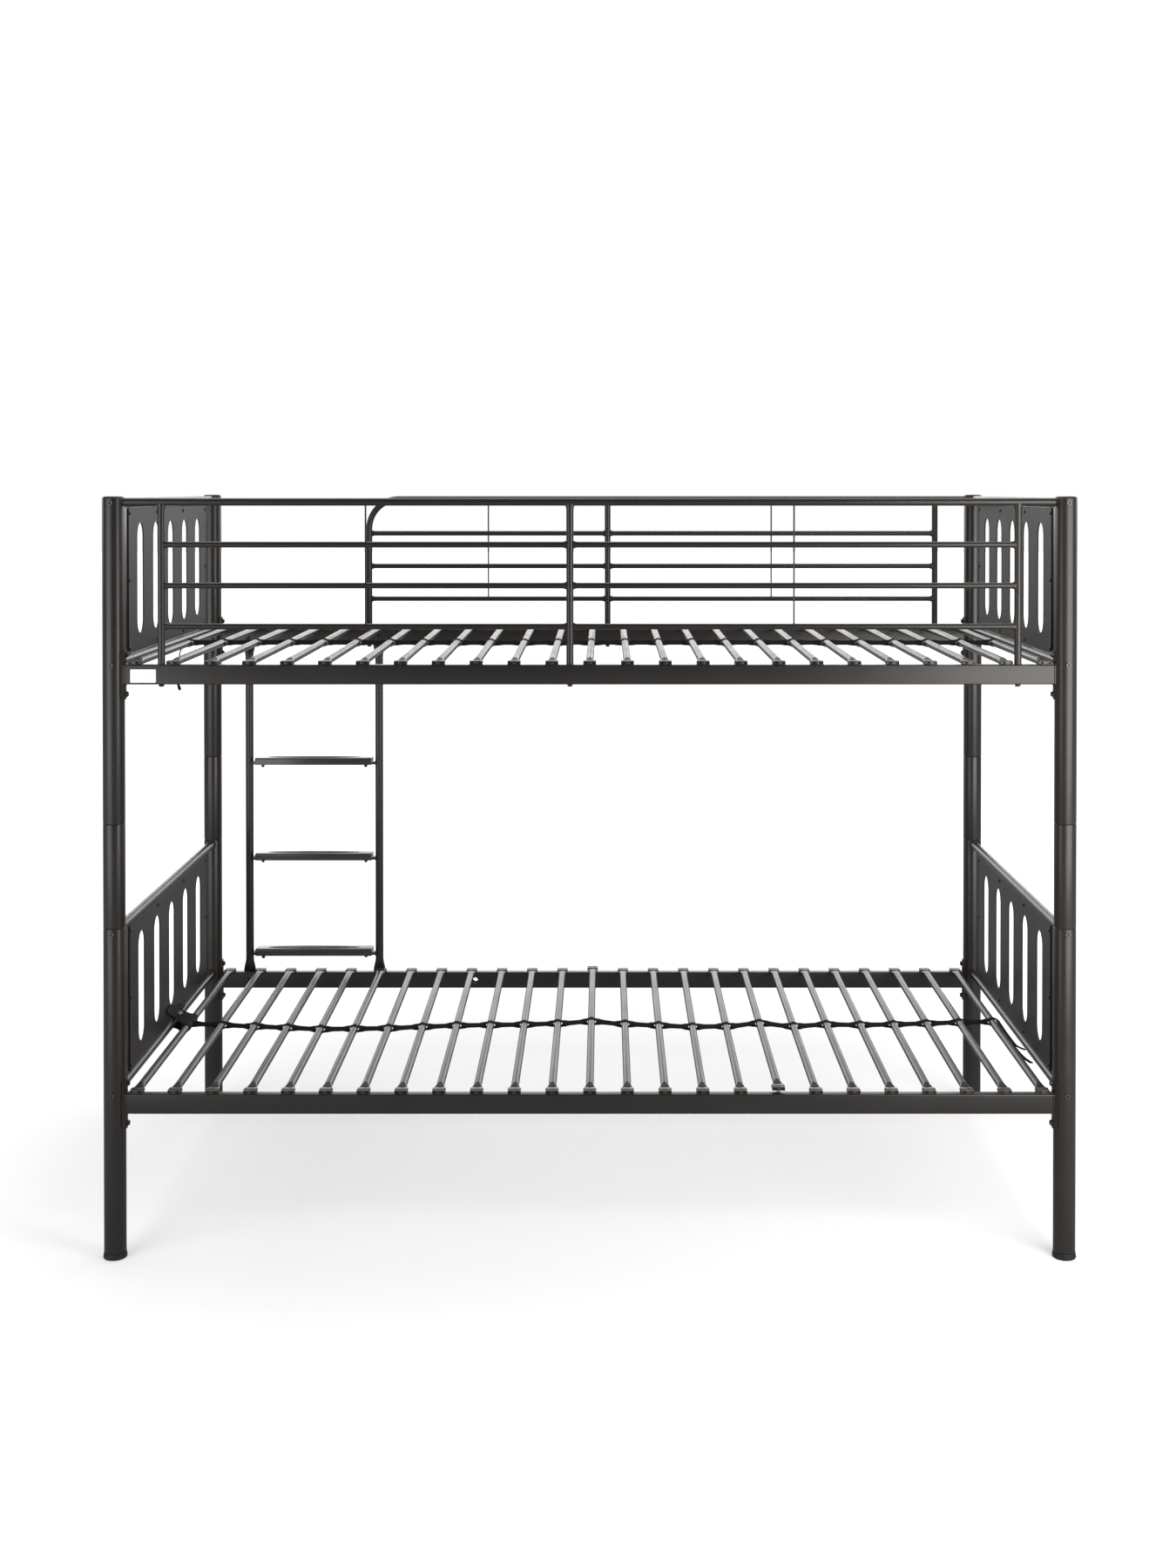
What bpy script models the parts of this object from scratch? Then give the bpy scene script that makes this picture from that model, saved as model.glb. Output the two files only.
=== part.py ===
"""Metal bunk bed for two single mattresses, built piece by piece.

X runs along the bed, Y from the guarded front to the ladder at the back, Z up.
Lengths are in metres. The bed stands on four plastic feet at Z = 0.
"""
import math

import bmesh
import bpy
from mathutils import Matrix, Vector

# Driving dimensions of the bed
POST_SPACING_X = 1.930
POST_SPACING_Y = 0.920
POST_DIAMETER = 0.0445
FRAME_POST_LENGTH = 0.660
EXTENSION_LENGTH = 0.212
FOOT_LIFT = 0.012
SIDE_RAIL_RISE = 0.302
LOW_CROSS_RAIL_RISE = 0.3224
HIGH_CROSS_RAIL_DROP = 0.0103
SLAT_PITCH = 0.0767

# Clearances and overruns
GAP = 0.0003
HOLE_CLEARANCE = 0.0008
OVERRUN = 0.005
WELD_DISTANCE = 0.000001
SPIN_MERGE = 0.00001
SHADE_ANGLE = math.radians(35)
SECTION_TURN = math.radians(9)

# Posts, extensions, caps and feet
POST_WALL = 0.0015
SPIGOT_WALL = 0.0015
SPIGOT_LENGTH = 0.040
SEAM_CHAMFER = 0.0012
CAP_DOME = 0.003
CAP_RIM = 0.0012
CAP_SHOULDER_SHARE = 0.72
CAP_PLUG = 0.004
FOOT_DIAMETER = 0.0478
FOOT_EDGE = 0.003
FOOT_PLUG = 0.015
POST_SIDES = 16

# Cross rails, uprights and screw tabs of an end frame
CROSS_RAIL_DIAMETER = 0.020
CROSS_RAIL_SIDES = 10
UPRIGHT_THICKNESS = 0.006
UPRIGHT_WIDTH = 0.040
UPRIGHT_INSET = 0.092
TAB_WIDTH = 0.030
TAB_REACH = 0.034
TAB_OFFSET = 0.122

# End panel with its row of slots
PANEL_WIDTH = 0.724
PANEL_THICKNESS = 0.002
PANEL_EDGE_GAP = 0.0018
PANEL_CORNER = 0.006
PANEL_CORNER_STEPS = 2
SLOT_COUNT = 5
SLOT_PITCH = 0.134
SLOT_WIDTH = 0.052
SLOT_MARGIN = 0.03385
SLOT_END = 0.031
SLOT_RISE = 0.0025
SLOT_STEPS = 5

# Side rails and the saddle brackets at their ends
SIDE_RAIL_HEIGHT = 0.040
SIDE_RAIL_DEPTH = 0.020
SIDE_RAIL_WALL = 0.0015
BRACKET_HEIGHT = 0.101
BRACKET_THICKNESS = 0.003
BRACKET_HALF_ANGLE = math.radians(42)
BRACKET_STEPS = 6
BRACKET_SINK_SHARE = 0.15
BRACKET_BOLT_OFFSET = 0.0402
SPARE_HOLE_DIAMETER = 0.014
SPARE_HOLE_SIDES = 12
SPARE_HOLE_X = -0.298

# Bolts
BOLT_DIAMETER = 0.006
BOLT_HEAD_DIAMETER = 0.010
BOLT_HEAD_HEIGHT = 0.003
SOCKET_DIAMETER = 0.005
SOCKET_DEPTH = 0.002
HEX_HEAD_DIAMETER = 0.0115
HEX_HEAD_HEIGHT = 0.0045
HEAD_SINK = 0.0006
BOLT_REACH = 0.014
BOLT_SIDES = 6

# Guard rails
GUARD_TOP_DROP = 0.0085
GUARD_TOP_DIAMETER = 0.0156
GUARD_UPRIGHT_DIAMETER = 0.0148
GUARD_RAIL_DIAMETER = 0.012
GUARD_RAIL_TOP_DROP = 0.0865
GUARD_RAIL_BOTTOM_RISE = 0.077
GUARD_RAIL_COUNT = 3
WIRE_DIAMETER = 0.0036
WIRE_SINK = 0.002
GUARD_BEND = 0.075
GUARD_BEND_STEPS = 7
GUARD_END_INSET = 0.097
FRONT_GUARD_MIDDLE_OFFSET = -0.040
REAR_GUARD_START_SLAT = 4
REAR_GUARD_START_OFFSET = 0.0466
REAR_GUARD_MIDDLE_OFFSET = 0.038

# Ladder
LADDER_INSET = 0.2558
STILE_SPACING = 0.3305
STILE_DIAMETER = 0.020
STILE_FLAT_WIDTH = 0.030
STILE_FLAT_THICKNESS = 0.006
STILE_TAPER = 0.032
TREAD_COUNT = 3
TREAD_PITCH = 0.243
LOW_TREAD_TOP = 0.393
TREAD_LENGTH = 0.300
TREAD_DEPTH = 0.042
TREAD_HEIGHT = 0.018
TREAD_ROUNDING = 0.003
RUNG_WIDTH = 0.024
RUNG_THICKNESS = 0.006

# Slats, their end caps and the elastic strap through them
SLAT_DIAMETER = 0.016
SLAT_FLAT_WIDTH = 0.0235
SLAT_FLAT_THICKNESS = 0.005
SLAT_TAPER = 0.024
SLAT_LIFT = 0.0038
END_CAP_WIDTH = 0.0265
END_CAP_DEPTH = 0.021
END_CAP_HEIGHT = 0.0075
END_CAP_SETBACK = 0.00375
MAT_FORWARD = 0.00225
SLAT_END_INSET = 0.0445
COUNT_SLACK_SHARE = 0.001
CAP_GRIP = 0.012
PEG_WIDTH = 0.006
PEG_LENGTH = 0.012
PEG_INSET = 0.003
PEG_ROOT = 0.0006
STRAP_WIDTH = 0.010
STRAP_THICKNESS = 0.003
STRAP_OVERHANG = 0.026
STRAP_TAIL_LENGTH = 0.110
STRAP_TAIL_THICKNESS = 0.0018
STRAP_LOOP_WIDTH = 0.060
STRAP_LOOP_THICKNESS = 0.0012
STRAP_LOOP_SIDES = 12
STRAP_LEAD_SHARE = 0.92
STRAP_LEAD_WIDTH = 0.050
STRAP_ANCHOR_SHIFT = 0.020
LOWER_RAISED_SLAT = 17
LOWER_RAISED_FRONT = 0.007

# Places and sizes worked out from the values above
HALF_X = POST_SPACING_X / 2
HALF_Y = POST_SPACING_Y / 2
POST_RADIUS = POST_DIAMETER / 2
BORE_RADIUS = POST_RADIUS - POST_WALL
BOLT_RADIUS = BOLT_DIAMETER / 2
HOLE_RADIUS = BOLT_RADIUS + HOLE_CLEARANCE
LOWER_FRAME_Z = FOOT_LIFT
UPPER_FRAME_Z = LOWER_FRAME_Z + FRAME_POST_LENGTH + EXTENSION_LENGTH
HIGH_CROSS_RAIL_RISE = FRAME_POST_LENGTH - HIGH_CROSS_RAIL_DROP
GUARD_TOP_HEIGHT = UPPER_FRAME_Z + FRAME_POST_LENGTH - GUARD_TOP_DROP
RAIL_TOP_OFFSET = SIDE_RAIL_HEIGHT / 2
BRACKET_INNER = POST_RADIUS + GAP
BRACKET_OUTER = BRACKET_INNER + BRACKET_THICKNESS
SIDE_RAIL_END = BRACKET_INNER + BRACKET_THICKNESS * BRACKET_SINK_SHARE
STILE_Y = HALF_Y + SIDE_RAIL_DEPTH / 2 + GAP + STILE_FLAT_THICKNESS / 2
FRONT_REACH = HALF_Y + POST_RADIUS + GAP + BOLT_HEAD_HEIGHT
REAR_REACH = max(FRONT_REACH, STILE_Y + TREAD_DEPTH / 2)
DEPTH_SHIFT = (FRONT_REACH - REAR_REACH) / 2
PEG_Y = HALF_Y - PEG_INSET
CAP_Y = HALF_Y + SIDE_RAIL_DEPTH / 2 - END_CAP_SETBACK - END_CAP_DEPTH / 2

LADDER_X = LADDER_INSET - HALF_X
STILE_XS = (LADDER_X - STILE_SPACING / 2, LADDER_X + STILE_SPACING / 2)
SLAT_COUNT = 1 + int((POST_SPACING_X - 2 * SLAT_END_INSET) / SLAT_PITCH + COUNT_SLACK_SHARE)
SLAT_XS = [(index - (SLAT_COUNT - 1) / 2) * SLAT_PITCH for index in range(SLAT_COUNT)]
MIDDLE_SLAT_X = SLAT_XS[SLAT_COUNT // 2]
GUARD_END_X = HALF_X - GUARD_END_INSET
REAR_GUARD_START_X = SLAT_XS[REAR_GUARD_START_SLAT] + REAR_GUARD_START_OFFSET
FRONT_GUARD_XS = (-GUARD_END_X, MIDDLE_SLAT_X + FRONT_GUARD_MIDDLE_OFFSET, GUARD_END_X)
REAR_GUARD_XS = (REAR_GUARD_START_X, MIDDLE_SLAT_X + REAR_GUARD_MIDDLE_OFFSET, GUARD_END_X)


def clear_scene():
    for old in list(bpy.data.objects):
        bpy.data.objects.remove(old, do_unlink=True)


clear_scene()
PARTS = bpy.data.collections.new("bunk_bed")
CUTTERS = bpy.data.collections.new("bunk_bed_cutters")
bpy.context.scene.collection.children.link(PARTS)
bpy.context.scene.collection.children.link(CUTTERS)

ROOT = bpy.data.objects.new("bed_centre", None)
ROOT.location = (0, DEPTH_SHIFT, 0)
PARTS.objects.link(ROOT)


def make_material(name, colour, roughness, metallic):
    material = bpy.data.materials.new(name)
    material.use_nodes = True
    shader = material.node_tree.nodes["Principled BSDF"]
    shader.inputs["Base Color"].default_value = (*colour, 1)
    shader.inputs["Roughness"].default_value = roughness
    shader.inputs["Metallic"].default_value = metallic
    return material


PAINT = make_material("powder_coated_steel", (0.045, 0.041, 0.038), 0.45, 0.6)
PLASTIC = make_material("black_plastic", (0.018, 0.018, 0.019), 0.5, 0)
BOLT_BLACK = make_material("blackened_bolt", (0.02, 0.02, 0.02), 0.4, 0.8)
ELASTIC = make_material("black_elastic", (0.012, 0.012, 0.013), 0.9, 0)


# Shape helpers

def mesh_from(build, name="shape"):
    """A mesh made by a function that fills a bmesh."""
    shape = bmesh.new()
    build(shape)
    bmesh.ops.recalc_face_normals(shape, faces=shape.faces)
    mesh = bpy.data.meshes.new(name)
    shape.to_mesh(mesh)
    shape.free()
    return mesh


def box(size, centre=(0, 0, 0)):
    matrix = Matrix.Translation(centre) @ Matrix.Diagonal((*size, 1))
    return mesh_from(lambda shape: bmesh.ops.create_cube(shape, size=1, matrix=matrix))


def rod(radius, start, end, sides=BOLT_SIDES):
    """A straight closed cylinder from one point to another."""
    start, end = Vector(start), Vector(end)
    axis = end - start
    matrix = Matrix.Translation((start + end) / 2) @ axis.to_track_quat("Z", "Y").to_matrix().to_4x4()
    return mesh_from(lambda shape: bmesh.ops.create_cone(
        shape, cap_ends=True, segments=sides, radius1=radius, radius2=radius,
        depth=axis.length, matrix=matrix))


def joined(meshes, places=None):
    """One mesh holding each mesh, moved by its matrix; the bodies stay apart."""
    places = places or [Matrix.Identity(4)] * len(meshes)

    def build(shape):
        for mesh, place in zip(meshes, places):
            moved = mesh.copy()
            moved.transform(place)
            shape.from_mesh(moved)
            bpy.data.meshes.remove(moved)
    return mesh_from(build)


def object_of(mesh, name="tool", collection=CUTTERS):
    item = bpy.data.objects.new(name, mesh)
    collection.objects.link(item)
    return item


def evaluated_mesh(item):
    graph = bpy.context.evaluated_depsgraph_get()
    return bpy.data.meshes.new_from_object(item.evaluated_get(graph))


def combine(mesh, *steps):
    """Apply Boolean steps, each an operation and a tool mesh, and return the result."""
    item = object_of(mesh)
    tools = []
    for operation, tool_mesh in steps:
        tool = object_of(tool_mesh, "cutter")
        tool.hide_render = True
        tool.display_type = "WIRE"
        tools.append(tool)
        modifier = item.modifiers.new(operation.lower(), "BOOLEAN")
        modifier.operation = operation
        modifier.object = tool
    result = evaluated_mesh(item)
    for used in [item, *tools]:
        bpy.data.objects.remove(used, do_unlink=True)
    return result


def swept(points, radius, resolution=2, turn=0):
    """A round tube along straight runs between points, closed at both ends.

    A turned section keeps its edges off those of the tube that it joins.
    """
    curve = bpy.data.curves.new("path", "CURVE")
    curve.dimensions = "3D"
    curve.bevel_depth = radius
    curve.bevel_resolution = resolution
    curve.use_fill_caps = True
    spline = curve.splines.new("POLY")
    spline.points.add(len(points) - 1)
    for point, place in zip(spline.points, points):
        point.co = (*place, 1)
        point.tilt = turn
    item = object_of(curve)
    mesh = evaluated_mesh(item)
    bpy.data.objects.remove(item, do_unlink=True)
    return welded(mesh)


def welded(mesh):
    shape = bmesh.new()
    shape.from_mesh(mesh)
    bmesh.ops.remove_doubles(shape, verts=shape.verts, dist=WELD_DISTANCE)
    bmesh.ops.recalc_face_normals(shape, faces=shape.faces)
    shape.to_mesh(mesh)
    shape.free()
    return mesh


def turned(profile, sides, closed=False):
    """A profile of radius and height pairs, top to bottom, spun about Z."""
    mesh = bpy.data.meshes.new("profile")
    edges = [(index, index + 1) for index in range(len(profile) - 1)]
    if closed:
        edges.append((len(profile) - 1, 0))
    mesh.from_pydata([(radius, 0, height) for radius, height in profile], edges, [])
    item = object_of(mesh)
    screw = item.modifiers.new("spin", "SCREW")
    screw.steps = sides
    screw.render_steps = sides
    screw.use_merge_vertices = True
    screw.merge_threshold = SPIN_MERGE
    result = evaluated_mesh(item)
    bpy.data.objects.remove(item, do_unlink=True)
    return welded(result)


def flat_plate(outlines, thickness):
    """A flat sheet in the XY plane; the first outline is its edge, the rest are holes."""
    curve = bpy.data.curves.new("outline", "CURVE")
    curve.dimensions = "2D"
    curve.fill_mode = "BOTH"
    curve.extrude = thickness / 2
    for outline in outlines:
        spline = curve.splines.new("POLY")
        spline.points.add(len(outline) - 1)
        for point, (across, up) in zip(spline.points, outline):
            point.co = (across, up, 0, 1)
        spline.use_cyclic_u = True
    item = object_of(curve)
    mesh = evaluated_mesh(item)
    bpy.data.objects.remove(item, do_unlink=True)
    return welded(mesh)


def arc(centre, radius, start, end, steps):
    """Points on an arc, both ends included, angles in radians."""
    turns = [start + (end - start) * step / steps for step in range(steps + 1)]
    return [(centre[0] + radius * math.cos(turn), centre[1] + radius * math.sin(turn))
            for turn in turns]


def flatten_ends(mesh, axis, half_length, flat_length, width_share, thickness_share):
    """Press the tube's ends flat: wider along X, thinner across the other direction."""
    other = 3 - axis
    for vertex in mesh.vertices:
        if abs(vertex.co[axis]) > half_length - flat_length - GAP:
            vertex.co.x *= width_share
            vertex.co[other] *= thickness_share


def shade(mesh):
    mesh.shade_smooth()
    mesh.set_sharp_from_angle(angle=SHADE_ANGLE)


def add_part(name, mesh, material, location=(0, 0, 0), rotation=(0, 0, 0)):
    item = object_of(mesh, name, PARTS)
    item.parent = ROOT
    item.location = location
    item.rotation_euler = rotation
    if not mesh.materials:
        mesh.materials.append(material)
    return item


# Bolts

def socket_bolt(length):
    """A socket screw with its axis on Z, its head's underside at zero."""
    head = BOLT_HEAD_DIAMETER / 2
    socket = SOCKET_DIAMETER / 2
    floor = BOLT_HEAD_HEIGHT - SOCKET_DEPTH
    return turned([(0, floor), (socket, floor), (socket, BOLT_HEAD_HEIGHT), (head, BOLT_HEAD_HEIGHT),
                   (head, 0), (BOLT_RADIUS, 0), (BOLT_RADIUS, -length), (0, -length)], BOLT_SIDES)


def hex_bolt(length):
    """A hexagon screw with its axis on Z, its head's underside at zero."""
    head = HEX_HEAD_DIAMETER / 2
    return turned([(0, HEX_HEAD_HEIGHT), (head, HEX_HEAD_HEIGHT), (head, 0), (BOLT_RADIUS, 0),
                   (BOLT_RADIUS, -length), (0, -length)], BOLT_SIDES)


def aimed(place, direction):
    """A matrix that puts Z along a direction at a place."""
    turn = Vector(direction).to_track_quat("Z", "Y").to_matrix().to_4x4()
    return Matrix.Translation(place) @ turn


# Posts

def post_mesh(guard_hole):
    """A tube standing on zero, drilled for its cross-rail bolts and bracket bolts."""
    tube = turned([(POST_RADIUS, FRAME_POST_LENGTH), (POST_RADIUS, 0), (BORE_RADIUS, 0),
                   (BORE_RADIUS, FRAME_POST_LENGTH)], POST_SIDES, closed=True)
    across = POST_RADIUS + OVERRUN
    drills = [rod(HOLE_RADIUS, (0, -across, height), (0, across, height))
              for height in (LOW_CROSS_RAIL_RISE, HIGH_CROSS_RAIL_RISE)]
    heights = [SIDE_RAIL_RISE - BRACKET_BOLT_OFFSET, SIDE_RAIL_RISE + BRACKET_BOLT_OFFSET]
    if guard_hole:
        heights.append(GUARD_TOP_HEIGHT - UPPER_FRAME_Z)
    drills += [rod(HOLE_RADIUS, (POST_RADIUS / 2, 0, height), (across, 0, height)) for height in heights]
    mesh = combine(tube, ("DIFFERENCE", joined(drills)))
    shade(mesh)
    return mesh


def extension_mesh():
    """A tube with a spigot at each end; the lower spigot is drilled for the cross-rail bolt."""
    spigot = BORE_RADIUS - GAP
    bore = spigot - SPIGOT_WALL
    top = EXTENSION_LENGTH - GAP
    tube = turned([(spigot, top + SPIGOT_LENGTH), (spigot, top), (POST_RADIUS - SEAM_CHAMFER, top),
                   (POST_RADIUS, top - SEAM_CHAMFER), (POST_RADIUS, GAP), (spigot, GAP),
                   (spigot, GAP - SPIGOT_LENGTH), (bore, GAP - SPIGOT_LENGTH),
                   (bore, top + SPIGOT_LENGTH)], POST_SIDES, closed=True)
    height = HIGH_CROSS_RAIL_RISE - FRAME_POST_LENGTH
    drill = rod(HOLE_RADIUS, (0, -POST_RADIUS, height), (0, POST_RADIUS, height))
    mesh = combine(tube, ("DIFFERENCE", drill))
    shade(mesh)
    return mesh


def cap_mesh():
    """A low domed plug that closes the top of a post."""
    plug = BORE_RADIUS - GAP
    mesh = turned([(0, CAP_DOME), (POST_RADIUS * CAP_SHOULDER_SHARE, CAP_DOME - CAP_RIM / 2),
                   (POST_RADIUS, CAP_RIM), (POST_RADIUS, GAP), (plug, GAP), (plug, -CAP_PLUG),
                   (0, -CAP_PLUG)], POST_SIDES)
    shade(mesh)
    return mesh


def foot_mesh():
    """A flared foot with a plug that fills the post's lower end."""
    plug = BORE_RADIUS - GAP
    flange = FOOT_DIAMETER / 2
    mesh = turned([(0, FOOT_LIFT + FOOT_PLUG), (plug, FOOT_LIFT + FOOT_PLUG), (plug, FOOT_LIFT - GAP),
                   (flange, FOOT_LIFT - GAP), (flange, FOOT_EDGE), (flange - FOOT_EDGE, 0), (0, 0)],
                  POST_SIDES)
    shade(mesh)
    return mesh


def add_posts():
    plain_post = post_mesh(guard_hole=False)
    guard_post = post_mesh(guard_hole=True)
    extension = extension_mesh()
    cap = cap_mesh()
    foot = foot_mesh()
    for side, x, turn in (("left", -HALF_X, 0), ("right", HALF_X, math.pi)):
        for row, y in (("front", -HALF_Y), ("rear", HALF_Y)):
            corner = f"{side}_{row}"
            carries_guard = corner != "left_rear"
            add_part(f"lower_post_{corner}", plain_post, PAINT, (x, y, LOWER_FRAME_Z), (0, 0, turn))
            add_part(f"upper_post_{corner}", guard_post if carries_guard else plain_post, PAINT,
                     (x, y, UPPER_FRAME_Z), (0, 0, turn))
            add_part(f"post_extension_{corner}", extension, PAINT,
                     (x, y, LOWER_FRAME_Z + FRAME_POST_LENGTH))
            add_part(f"top_cap_{corner}", cap, PLASTIC, (x, y, UPPER_FRAME_Z + FRAME_POST_LENGTH))
            add_part(f"foot_{corner}", foot, PLASTIC, (x, y, 0))


def add_post_bolts():
    """Socket screws that hold each cross rail between its two posts."""
    through = 2 * POST_RADIUS + GAP + BOLT_REACH
    bolt = socket_bolt(through)
    shade(bolt)
    for level, base in (("lower", LOWER_FRAME_Z), ("upper", UPPER_FRAME_Z)):
        for side, x in (("left", -HALF_X), ("right", HALF_X)):
            for row, sign in (("front", -1), ("rear", 1)):
                for place, rise in (("low", LOW_CROSS_RAIL_RISE), ("high", HIGH_CROSS_RAIL_RISE)):
                    add_part(f"{level}_{side}_{row}_{place}_bolt", bolt, BOLT_BLACK,
                             (x, sign * (HALF_Y + POST_RADIUS + GAP), base + rise),
                             (-sign * math.pi / 2, 0, 0))


# End frames and panels

def end_frame_mesh():
    """Two cross rails with welded uprights and screw tabs, coped to fit the posts."""
    radius = CROSS_RAIL_DIAMETER / 2
    low, high = LOW_CROSS_RAIL_RISE, HIGH_CROSS_RAIL_RISE
    rails = [rod(radius, (0, -HALF_Y, height), (0, HALF_Y, height), CROSS_RAIL_SIDES)
             for height in (low, high)]
    upright_y = HALF_Y - UPRIGHT_INSET
    bars = [box((UPRIGHT_THICKNESS, UPRIGHT_WIDTH, high - low), (0, y, (low + high) / 2))
            for y in (-upright_y, upright_y)]
    for y in (-TAB_OFFSET, TAB_OFFSET):
        for height, sign in ((low, 1), (high, -1)):
            bars.append(box((UPRIGHT_THICKNESS, TAB_WIDTH, TAB_REACH), (0, y, height + sign * TAB_REACH / 2)))
    posts = [rod(POST_RADIUS + GAP, (0, y, 0), (0, y, FRAME_POST_LENGTH + OVERRUN), POST_SIDES)
             for y in (-HALF_Y, HALF_Y)]
    bolt_end = HALF_Y - POST_RADIUS - BOLT_REACH - OVERRUN
    drills = [rod(HOLE_RADIUS, (0, sign * bolt_end, height), (0, sign * HALF_Y, height))
              for height in (low, high) for sign in (-1, 1)]
    mesh = combine(joined(rails), ("UNION", joined(bars)), ("DIFFERENCE", joined(posts)),
                   ("DIFFERENCE", joined(drills)))
    shade(mesh)
    return mesh


def slot_outline(centre, height):
    """A slot with long oval ends, standing on end."""
    rise = height / 2 - SLOT_END
    stretch = SLOT_END / (SLOT_WIDTH / 2)
    upper = arc((0, 0), SLOT_WIDTH / 2, 0, math.pi, SLOT_STEPS)
    return ([(centre + x, SLOT_RISE + rise + z * stretch) for x, z in upper]
            + [(centre - x, SLOT_RISE - rise - z * stretch) for x, z in upper])


def panel_edge(width, height):
    corners = ((1, 1, 0), (-1, 1, 1), (-1, -1, 2), (1, -1, 3))
    points = []
    for across, up, quarter in corners:
        centre = (across * (width / 2 - PANEL_CORNER), up * (height / 2 - PANEL_CORNER))
        start = quarter * math.pi / 2
        points += arc(centre, PANEL_CORNER, start, start + math.pi / 2, PANEL_CORNER_STEPS)
    return points


def panel_mesh(height):
    centres = [(index - (SLOT_COUNT - 1) / 2) * SLOT_PITCH for index in range(SLOT_COUNT)]
    slots = [slot_outline(centre, height - 2 * SLOT_MARGIN) for centre in centres]
    return flat_plate([panel_edge(PANEL_WIDTH, height), *slots], PANEL_THICKNESS)


def add_ends():
    frame = end_frame_mesh()
    clear_height = HIGH_CROSS_RAIL_RISE - LOW_CROSS_RAIL_RISE - CROSS_RAIL_DIAMETER
    panel_height = clear_height - 2 * PANEL_EDGE_GAP
    panel = panel_mesh(panel_height)
    inward = UPRIGHT_THICKNESS / 2 + GAP + PANEL_THICKNESS / 2
    middle = (LOW_CROSS_RAIL_RISE + HIGH_CROSS_RAIL_RISE) / 2
    for level, base in (("lower", LOWER_FRAME_Z), ("upper", UPPER_FRAME_Z)):
        for side, sign in (("left", -1), ("right", 1)):
            add_part(f"{level}_end_frame_{side}", frame, PAINT, (sign * HALF_X, 0, base))
            add_part(f"{level}_end_panel_{side}", panel, PAINT,
                     (sign * (HALF_X - inward), 0, base + middle), (math.pi / 2, 0, math.pi / 2))


# Side rails

def bracket_mesh():
    """A curved plate that wraps the inner side of a post at the origin, facing +X."""
    facet = math.cos(BRACKET_HALF_ANGLE / BRACKET_STEPS)
    outer = arc((0, 0), BRACKET_OUTER / facet, -BRACKET_HALF_ANGLE, BRACKET_HALF_ANGLE, BRACKET_STEPS)
    inner = arc((0, 0), BRACKET_INNER / facet, BRACKET_HALF_ANGLE, -BRACKET_HALF_ANGLE, BRACKET_STEPS)
    return flat_plate([outer + inner], BRACKET_HEIGHT)


def side_rail_mesh(upright_xs=(), stile_xs=(), spare_hole=False):
    """A rail seen from its inner side at +Y, centred on zero, with brackets and bolts."""
    half = HALF_X - SIDE_RAIL_END
    outer = box((2 * half, SIDE_RAIL_DEPTH, SIDE_RAIL_HEIGHT))
    bore = box((2 * (half + OVERRUN), SIDE_RAIL_DEPTH - 2 * SIDE_RAIL_WALL,
                SIDE_RAIL_HEIGHT - 2 * SIDE_RAIL_WALL))
    peg = PEG_WIDTH + 2 * HOLE_CLEARANCE
    pegs = [box((peg, peg, SIDE_RAIL_HEIGHT / 2), (x, PEG_INSET, SIDE_RAIL_HEIGHT / 2)) for x in SLAT_XS]
    reach_z = SIDE_RAIL_HEIGHT / 2 + OVERRUN
    reach_y = SIDE_RAIL_DEPTH / 2 + OVERRUN
    drills = [rod(HOLE_RADIUS, (x, 0, -reach_z), (x, 0, reach_z)) for x in upright_xs]
    drills += [rod(HOLE_RADIUS, (x, -reach_y, 0), (x, reach_y, 0)) for x in stile_xs]
    if spare_hole:
        drills.append(rod(SPARE_HOLE_DIAMETER / 2, (-SPARE_HOLE_X, -reach_y, 0),
                          (-SPARE_HOLE_X, reach_y, 0), SPARE_HOLE_SIDES))
    plate = bracket_mesh()
    left = Matrix.Translation((-HALF_X, 0, 0))
    right = Matrix.Translation((HALF_X, 0, 0)) @ Matrix.Rotation(math.pi, 4, "Z")
    brackets = joined([plate, plate], [left, right])
    bolt = hex_bolt(BOLT_REACH)
    head = BRACKET_OUTER - HEAD_SINK
    places = []
    for height in (-BRACKET_BOLT_OFFSET, BRACKET_BOLT_OFFSET):
        places.append(aimed((-HALF_X + head, 0, height), (1, 0, 0)))
        places.append(aimed((HALF_X - head, 0, height), (-1, 0, 0)))
    bolts = joined([bolt] * len(places), places)
    cuts = [("DIFFERENCE", bore), ("DIFFERENCE", joined(pegs))]
    if drills:
        cuts.append(("DIFFERENCE", joined(drills)))
    mesh = combine(outer, *cuts, ("UNION", brackets), ("UNION", bolts))
    shade(mesh)
    return mesh


def add_side_rails():
    lower = LOWER_FRAME_Z + SIDE_RAIL_RISE
    upper = UPPER_FRAME_Z + SIDE_RAIL_RISE
    rear_uprights = [-x for x in REAR_GUARD_XS]
    rear_stiles = [-x for x in STILE_XS]
    add_part("lower_side_rail_front", side_rail_mesh(), PAINT, (0, -HALF_Y, lower))
    add_part("upper_side_rail_front", side_rail_mesh(upright_xs=FRONT_GUARD_XS), PAINT, (0, -HALF_Y, upper))
    add_part("lower_side_rail_rear", side_rail_mesh(stile_xs=rear_stiles, spare_hole=True), PAINT,
             (0, HALF_Y, lower), (0, 0, math.pi))
    add_part("upper_side_rail_rear", side_rail_mesh(upright_xs=rear_uprights, stile_xs=rear_stiles), PAINT,
             (0, HALF_Y, upper), (0, 0, math.pi))


# Guards

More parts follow.
